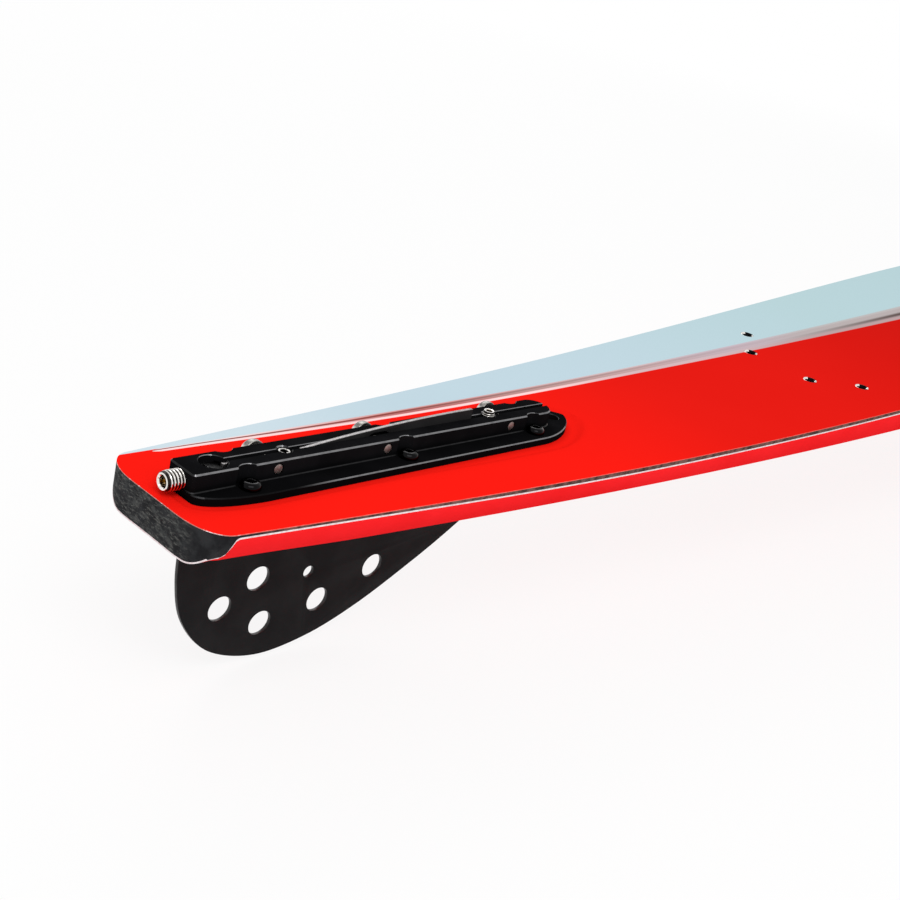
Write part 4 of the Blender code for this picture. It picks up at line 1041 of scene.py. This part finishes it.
def build_block(black, bright, dim):
    bm = bmesh.new()
    side, rim = flange_outline(), flange_outline(-FLANGE_CHAMFER)
    levels(bm, (-SEAT_DEPTH + 0.05 * mm, side), (FLANGE_TOP - FLANGE_CHAMFER, side), (FLANGE_TOP, rim))
    block = made_object("fin_clamp_block", bm, (black, bright, dim))
    with cutting(block, "UNION") as jaws:
        foot, side, rim = (jaw_outline(inset) for inset in (-JAW_FOOT, 0.0, JAW_CHAMFER))
        low = (0.5 * FLANGE_TOP, foot), (FLANGE_TOP + 0.02 * mm, foot), (FLANGE_TOP + JAW_FOOT, side)
        levels(jaws, *low, (JAW_TOP - JAW_CHAMFER, side), (JAW_TOP, rim))
    with cutting(block) as slot:
        half = FIN_THICKNESS / 2 + GAP
        flare = 2 * FINE_CHAMFER
        narrow = rectangle(JAW_SLOT_REAR, JAW_SLOT_FRONT, half)
        wide = rectangle(JAW_SLOT_REAR - flare, JAW_SLOT_FRONT + flare, half + flare)
        low, high = (JAW_TOP - FINE_CHAMFER, narrow), (JAW_TOP + FINE_CHAMFER, wide)
        levels(slot, (-BEYOND, narrow), low, high, (JAW_TOP + BEYOND, wide))
    with cutting(block) as slot_end:
        flared(slot_end, SLOT_END_X, 0, SLOT_END_RADIUS, -BEYOND, FLANGE_TOP)
    with cutting(block) as notches:
        for _, x, y in each_flange_screw():
            flared(notches, x, y, NOTCH_RADIUS, FLANGE_TOP, JAW_TOP)
    with cutting(block) as flange_bores:
        for _, x, y in each_flange_screw():
            bar(flange_bores, (x, y, -BEYOND), (x, y, FLANGE_TOP + 1 * mm), FLANGE_SCREW_RADIUS + GAP)
    with cutting(block) as cross_bores:
        for x in CLAMP_X:
            bar(cross_bores, (x, -JAW_WIDTH, CLAMP_Z), (x, JAW_WIDTH, CLAMP_Z), CLAMP_RADIUS + 0.1 * mm)
    with cutting(block) as head_seats:
        start = JAW_WIDTH / 2
        for x in CLAMP_X:
            end = start + CLAMP_HEAD_HEIGHT + 3 * GAP
            bar(head_seats, (x, start, CLAMP_Z), (x, end, CLAMP_Z), CLAMP_HEAD_RADIUS + GAP)
    with cutting(block) as depth_bores:
        room, change = SHOE_RADIUS + GAP, SHOE_TOP + DEPTH_TRAVEL + GAP
        radius = DEPTH_SCREW_RADIUS + 0.1 * mm
        wide = radius + 3 * FINE_CHAMFER
        profile = [(room, -BEYOND), (room, change), (radius, change), (radius, JAW_TOP - 2 * FINE_CHAMFER)]
        profile += [(wide, JAW_TOP + FINE_CHAMFER), (wide, JAW_TOP + BEYOND)]
        for x in DEPTH_X:
            turned(depth_bores, profile, Matrix.Translation((x, 0, 0)))
    with cutting(block) as yoke_room:
        reach = LENGTH_TRAVEL + 2 * GAP
        room = rectangle(YOKE_REAR - reach, YOKE_FRONT + reach, YOKE_HALF_WIDTH + GAP)
        levels(yoke_room, (-BEYOND, room), (YOKE_TOP + GAP, room))
    with cutting(block) as stud_bore:
        ends = (BLOCK_REAR - BEYOND, 0, STUD_Z), (POCKET_X, 0, STUD_Z)
        bar(stud_bore, *ends, STUD_RADIUS + 0.12 * mm, 48)
    with cutting(block) as pocket:
        flared(pocket, POCKET_X, 0, POCKET_RADIUS, YOKE_TOP - 1 * mm, JAW_TOP)
    # Painted highlight: chamfers facing the sides get the bright edge finish; the others, and the jaws'
    # foot, get the dim one.
    for face in block.data.polygons:
        if 0.5 < face.normal.z < 0.92:
            above = face.center.z - ORIGIN.z - FLANGE_TOP
            on_foot = 0 < above < JAW_FOOT
            face.material_index = 1 if abs(face.normal.y) > 0.6 and not on_foot else 2
    settle(block, "ski", "anodised", "fin_block")


def build_screws(steel, black_steel):
    r = FLANGE_SCREW_RADIUS
    profile = [(r - 0.3 * mm, -9.5 * mm)]
    profile += thread(r - 0.25 * mm, r, SCREW_PITCH, -9.3 * mm, -0.4 * mm)
    profile += [(r, -GAP), (FLANGE_HEAD_RADIUS - 0.15 * mm, -GAP), (FLANGE_HEAD_RADIUS, -GAP + 0.15 * mm)]
    profile += dome(FLANGE_HEAD_RADIUS, FLANGE_HEAD_HEIGHT, 0.52, 0.28, 8)
    profile += socket(FLANGE_HEAD_HEIGHT, FLANGE_SOCKET, 1.3 * mm)
    for name, x, y in each_flange_screw():
        place = Matrix.Translation((x, y, FLANGE_TOP + GAP))
        given = f"button_screw_{name}", black_steel, profile, place
        turned_piece(*given, "ski", "black_steel", f"flange_screw_{name}")

    r = CLAMP_RADIUS
    tip, end = r - 0.15 * mm, -JAW_WIDTH - GAP
    profile = [(tip * math.sin(0.16 * k), end + 0.45 * mm * (1 - math.cos(0.16 * k))) for k in range(1, 10)]
    profile += thread(r - 0.22 * mm, r, SCREW_PITCH, end + 0.3 * mm, -6 * mm)
    profile += [(r, -5.9 * mm), (r, -GAP)]
    profile += [(CLAMP_HEAD_RADIUS - 0.2 * mm, -GAP), (CLAMP_HEAD_RADIUS, -GAP + 0.2 * mm)]
    profile += dome(CLAMP_HEAD_RADIUS, CLAMP_HEAD_HEIGHT, 0.46, 0.3, 10)
    profile += socket(CLAMP_HEAD_HEIGHT, CLAMP_SOCKET, 1.5 * mm)
    to_left = Matrix.Rotation(-math.pi / 2, 4, "X")
    for name, x in zip(("rear", "middle", "front"), CLAMP_X):
        place = Matrix.Translation((x, JAW_WIDTH / 2 + GAP, CLAMP_Z)) @ to_left
        turned_piece(f"clamp_bolt_{name}", steel, profile, place, "ski", "steel", f"clamp_screw_{name}")


def build_adjusters(stud_steel, depth_steels):
    rear = BLOCK_REAR - STUD_OUT
    body = STUD_INNER_END - rear
    r = STUD_RADIUS
    flats = hexagon(STUD_SOCKET)
    profile = [(0.02 * mm, 5.2 * mm), (flats, 4.5 * mm), (flats, 0.45 * mm), (STUD_SOCKET * 1.25, 0.0)]
    profile += [(r - 0.75 * mm, 0.0), (r - 0.3 * mm, 0.35 * mm)]
    profile += thread(r - 0.42 * mm, r, STUD_PITCH, 0.45 * mm, body - 0.3 * mm)
    button, end = body + 2.5 * mm, body + 4.1 * mm
    profile += [(r - 0.5 * mm, body), (STUD_NECK_RADIUS, body), (STUD_NECK_RADIUS, button)]
    profile += [(STUD_BUTTON_RADIUS, button), (STUD_BUTTON_RADIUS, end)]
    place = Matrix.Translation((rear, 0, STUD_Z)) @ Matrix.Rotation(math.pi / 2, 4, "Y")
    given = "length_stud_threaded", stud_steel, profile, place
    turned_piece(*given, "length_stud", "steel", "length_screw", 64)
    r = DEPTH_SCREW_RADIUS
    bottom = SHOE_TOP + GAP
    for name, x, top, steel in zip(("rear", "front"), DEPTH_X, DEPTH_SCREW_TOP, depth_steels):
        profile = [(r - 0.5 * mm, bottom)]
        profile += thread(r - 0.3 * mm, r, DEPTH_PITCH, bottom + 0.1 * mm, top - 0.25 * mm)
        profile += [(r - 0.35 * mm, top)] + socket(top, DEPTH_SOCKET, 2.2 * mm)
        given = f"depth_screw_threaded_{name}", steel, profile, Matrix.Translation((x, 0, 0))
        turned_piece(*given, f"{name}_depth_screw", "steel", f"depth_screw_{name}")


# Fin


def blade_point(along, down):
    return Vector((FIN_REAR + along * FIN_LENGTH, base_height(0) - down * FIN_DEPTH))


def fin_outline():
    """Round the blade from its rear shoulder: below the ski, up its front, and back along the top."""
    below = [blade_point(0, 0), *(blade_point(*share) for share in BLADE_OUTLINE), blade_point(1, 0)]
    half = CLAMP_RADIUS + GAP + LENGTH_TRAVEL
    rear, front = CLAMP_X[0], CLAMP_X[2]
    span = FIN_ARCH_FRONT - FIN_ARCH_REAR
    shares = [i / 40 for i in range(41)]
    return [
        (FIN_REAR, FIN_SHOULDER),
        *catmull(below, 10),
        (FIN_REAR + FIN_LENGTH, base_height(0) + 0.4 * TAIL_THICKNESS),
        (FIN_FRONT_TOP, FIN_CLAMP_NOTCH_Z),
        (front - half, FIN_CLAMP_NOTCH_Z), (front - half, FIN_REST_Z),
        (FIN_ARCH_FRONT, FIN_REST_Z),
        *((FIN_ARCH_FRONT - span * share, FIN_ARCH_TOP - FIN_ARCH_SAG * share**2) for share in shares),
        (FIN_ARCH_REAR - 1 * mm, FIN_REST_Z),
        (rear + half, FIN_REST_Z), (rear + half, FIN_CLAMP_NOTCH_Z),
        (rear - half, FIN_CLAMP_NOTCH_Z), (rear - half, FIN_TAB_TOP),
        (FIN_TAB_REAR, FIN_TAB_TOP), (FIN_TAB_REAR, FIN_SHOULDER),
    ]


def across_fin(bm, outline, reach):
    loft(bm, [[Vector((x, y, z)) for x, z in outline] for y in (-reach, reach)])


def build_fin(satin, edge):
    bm = bmesh.new()
    across_fin(bm, fin_outline(), FIN_THICKNESS / 2)
    fin = made_object("fin_blade", bm, (satin, edge))
    with cutting(fin) as holes:
        reach = 3 * mm
        rounds = [(blade_point(*share), FIN_HOLE_RADIUS, 64) for share in BLADE_HOLES]
        rounds.append((blade_point(*BLADE_PILOT), FIN_PILOT_RADIUS, 40))
        for (x, z), radius, segments in rounds:
            bar(holes, (x, -reach, z), (x, reach, z), radius, segments)
        middle, half = CLAMP_X[1], FIN_WINDOW_LENGTH / 2
        window = obround(middle - half, middle + half, FIN_WINDOW_HEIGHT)
        across_fin(holes, [(x, z + CLAMP_Z) for x, z in window], reach)
        pin_room = YOKE_PIN_RADIUS + GAP
        pin = obround(-pin_room - DEPTH_TRAVEL, pin_room + DEPTH_TRAVEL, 2 * pin_room)
        across_fin(holes, [(YOKE_PIN_X + z, YOKE_PIN_Z + x) for x, z in pin], reach)
    bevelled(fin, FINE_CHAMFER)
    for face in fin.data.polygons:
        face.material_index = int(abs(face.normal.y) < 0.9)
    settle(fin, "fin_blade", "anodised", "fin")


# Stage, light and camera


def build_floor():
    """A floor that keeps the object's shadow, and is white to the camera and to mirrors further out."""
    mesh = bpy.data.meshes.new("floor")
    corners = [(x, y, 0) for x, y in rectangle(-FLOOR_REACH, FLOOR_REACH, FLOOR_REACH)]
    mesh.from_pydata(corners, [], [(0, 1, 2, 3)])
    floor = linked("floor", mesh)
    floor.location.z = FLOOR_LEVEL
    white = bpy.data.materials.new("floor_white")
    white.use_nodes = True
    g = Graph(white.node_tree)
    g.nodes.remove(g.nodes["Principled BSDF"])
    diffuse = g.node("ShaderNodeBsdfDiffuse", {"Color": (FLOOR_GREY, FLOOR_GREY, FLOOR_GREY, 1)})
    glow = g.node("ShaderNodeEmission", {"Strength": 1.0})
    path = g.node("ShaderNodeLightPath").outputs
    seen = g.math("MAXIMUM", path["Is Camera Ray"], path["Is Glossy Ray"])
    place = g.node("ShaderNodeNewGeometry").outputs["Position"]
    away = g.node("ShaderNodeVectorMath", {0: place}, operation="LENGTH").outputs["Value"]
    share = seen * g.ramp(away, *FLOOR_FADE, FLOOR_NEAR_WHITE, 1.0)
    both = g.node("ShaderNodeMixShader", {0: share, 1: diffuse.outputs[0], 2: glow.outputs[0]})
    g.feed(g.nodes["Material Output"].inputs["Surface"], both.outputs[0])
    mesh.materials.append(white)


def build_world():
    """White to the camera, to mirrors and through glass, and dimmer as a light."""
    world = bpy.data.worlds.new("studio")
    bpy.context.scene.world = world
    world.use_nodes = True
    g = Graph(world.node_tree)
    path = g.node("ShaderNodeLightPath").outputs
    mirrored = g.math("MAXIMUM", path["Is Glossy Ray"], path["Is Transmission Ray"])
    seen = g.math("MAXIMUM", path["Is Camera Ray"], mirrored)
    back = g.nodes["Background"].inputs
    g.feed(back["Color"], (1, 1, 1, 1))
    g.feed(back["Strength"], g.ramp(seen, 0.0, 1.0, WORLD_LIGHT, 1.0))


def area_light(name, place, target, size, power):
    light = bpy.data.lights.new(name, "AREA")
    light.shape = "RECTANGLE"
    light.size, light.size_y = size
    light.energy = power
    made = linked(name, light)
    made.location = place
    made.rotation_mode = "QUATERNION"
    made.rotation_quaternion = (Vector(target) - Vector(place)).to_track_quat("-Z", "Y")


def build_camera():
    camera = bpy.data.cameras.new("camera")
    made = linked("camera", camera)
    place = CAMERA_PLACE + ORIGIN
    rows = [(CAMERA_RIGHT[i], -CAMERA_DOWN[i], -CAMERA_AHEAD[i], place[i]) for i in range(3)]
    made.matrix_world = Matrix((*rows, (0, 0, 0, 1)))
    camera.sensor_width = 36
    camera.lens = CAMERA_LENS
    camera.shift_x, camera.shift_y = CAMERA_SHIFT
    camera.clip_start = 0.01
    camera.clip_end = 100
    bpy.context.scene.camera = made
    bpy.context.scene.view_settings.view_transform = "Standard"


# Assembly

build_camera()
build_floor()
build_world()
tail = Vector((-0.70, 0, 0.09))
area_light("key", (-1.4, -1.1, 1.9), tail, (1.6, 1.2), 26)
area_light("fill", (0.4, 1.8, 1.6), tail, (1.8, 1.2), 16)

laminate = laminate_finish()
black = anodised_finish("black_anodised", (0.005, 0.005, 0.0056), (0.008, 0.008, 0.009), 0.0)
satin = anodised_finish("blade_black", (0.016, 0.0154, 0.016), (0.021, 0.0204, 0.021), 0.01)
# Painted highlight for the block's chamfers, and a dim edge finish where they are unlit.
bright = metal_finish(
    "painted_edge_highlight", (0.2, 0.2, 0.205), (0.12, 0.12, 0.125), (0.3, 0.45), 1600, flange_edge_fade
)
dim_edge = metal_finish("dim_edge", (0.022, 0.022, 0.023), (0.012, 0.012, 0.0125), (0.35, 0.5), 1600)
# The blade's edges: grey, with a painted highlight along the arch.
fin_edge = metal_finish("fin_edge", (0.24, 0.23, 0.23), (0.12, 0.115, 0.115), (0.3, 0.45), 1600, arch_fade)
stud_axis = (None, 0.0, STUD_Z)
# The stud gets painted shade from 12.5 mm on, fading in from 9.5 mm, where it runs inside the block.
stud_steel = screw_finish(
    "stud_steel", stud_axis, STUD_SOCKET, 3.18 * mm, STUD_RADIUS, 0.9, painted_shade_from=(9.5 * mm, 12.5 * mm)
)
# Painted shade: the depth screws' steel is dimmed, the rear one to 0.28 and the front one to 0.8.
depth_steels = [
    screw_finish(f"depth_steel_{i}", (x, 0.0, None), 1.3 * mm, 2.2 * mm, DEPTH_SCREW_RADIUS, gold, painted_brightness)
    for i, (x, gold, painted_brightness) in enumerate(zip(DEPTH_X, (0.0, 0.8), (0.28, 0.8)))
]
insert_steel = metal_finish("insert_steel", (0.8, 0.78, 0.74), (0.6, 0.58, 0.54), (0.12, 0.25))
black_steel = metal_finish("black_oxide", (0.0085, 0.0085, 0.009), (0.005, 0.005, 0.0053), (0.1, 0.22))
# Near-black painted shade for the inserts' bores and unlit rims, and for the pieces inside the block.
painted_shade_black = metal_finish("painted_shade_black", (0.004, 0.004, 0.0045), (0.002, 0.002, 0.002), (0.4, 0.6))
brass = metal_finish("brass", (0.72, 0.52, 0.24), (0.5, 0.34, 0.15), (0.25, 0.4))

build_deck(deck_finish(), deck_edge_finish())
build_core(laminate)
build_shell(side_finish(), pale_edge_finish())
build_inserts(insert_steel, painted_shade_black)
build_block(black, bright, dim_edge)
build_screws(clamp_steel(), black_steel)
build_adjusters(stud_steel, depth_steels)
build_fin(satin, fin_edge)

# The pieces inside the block keep the solids' own shapes; the yoke pin, the yoke and the depth shoes are
# painted near-black as shade.
for name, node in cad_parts.items():
    if name.startswith("block_insert"):
        finish, slot = brass, "insert_brass"
    elif name == "yoke_pin":
        finish, slot = painted_shade_black, "steel"
    elif name.startswith("depth_shoe") or name == "length_yoke":
        finish, slot = painted_shade_black, "anodised"
    else:
        continue
    node.data.materials.clear()
    node.data.materials.append(finish)
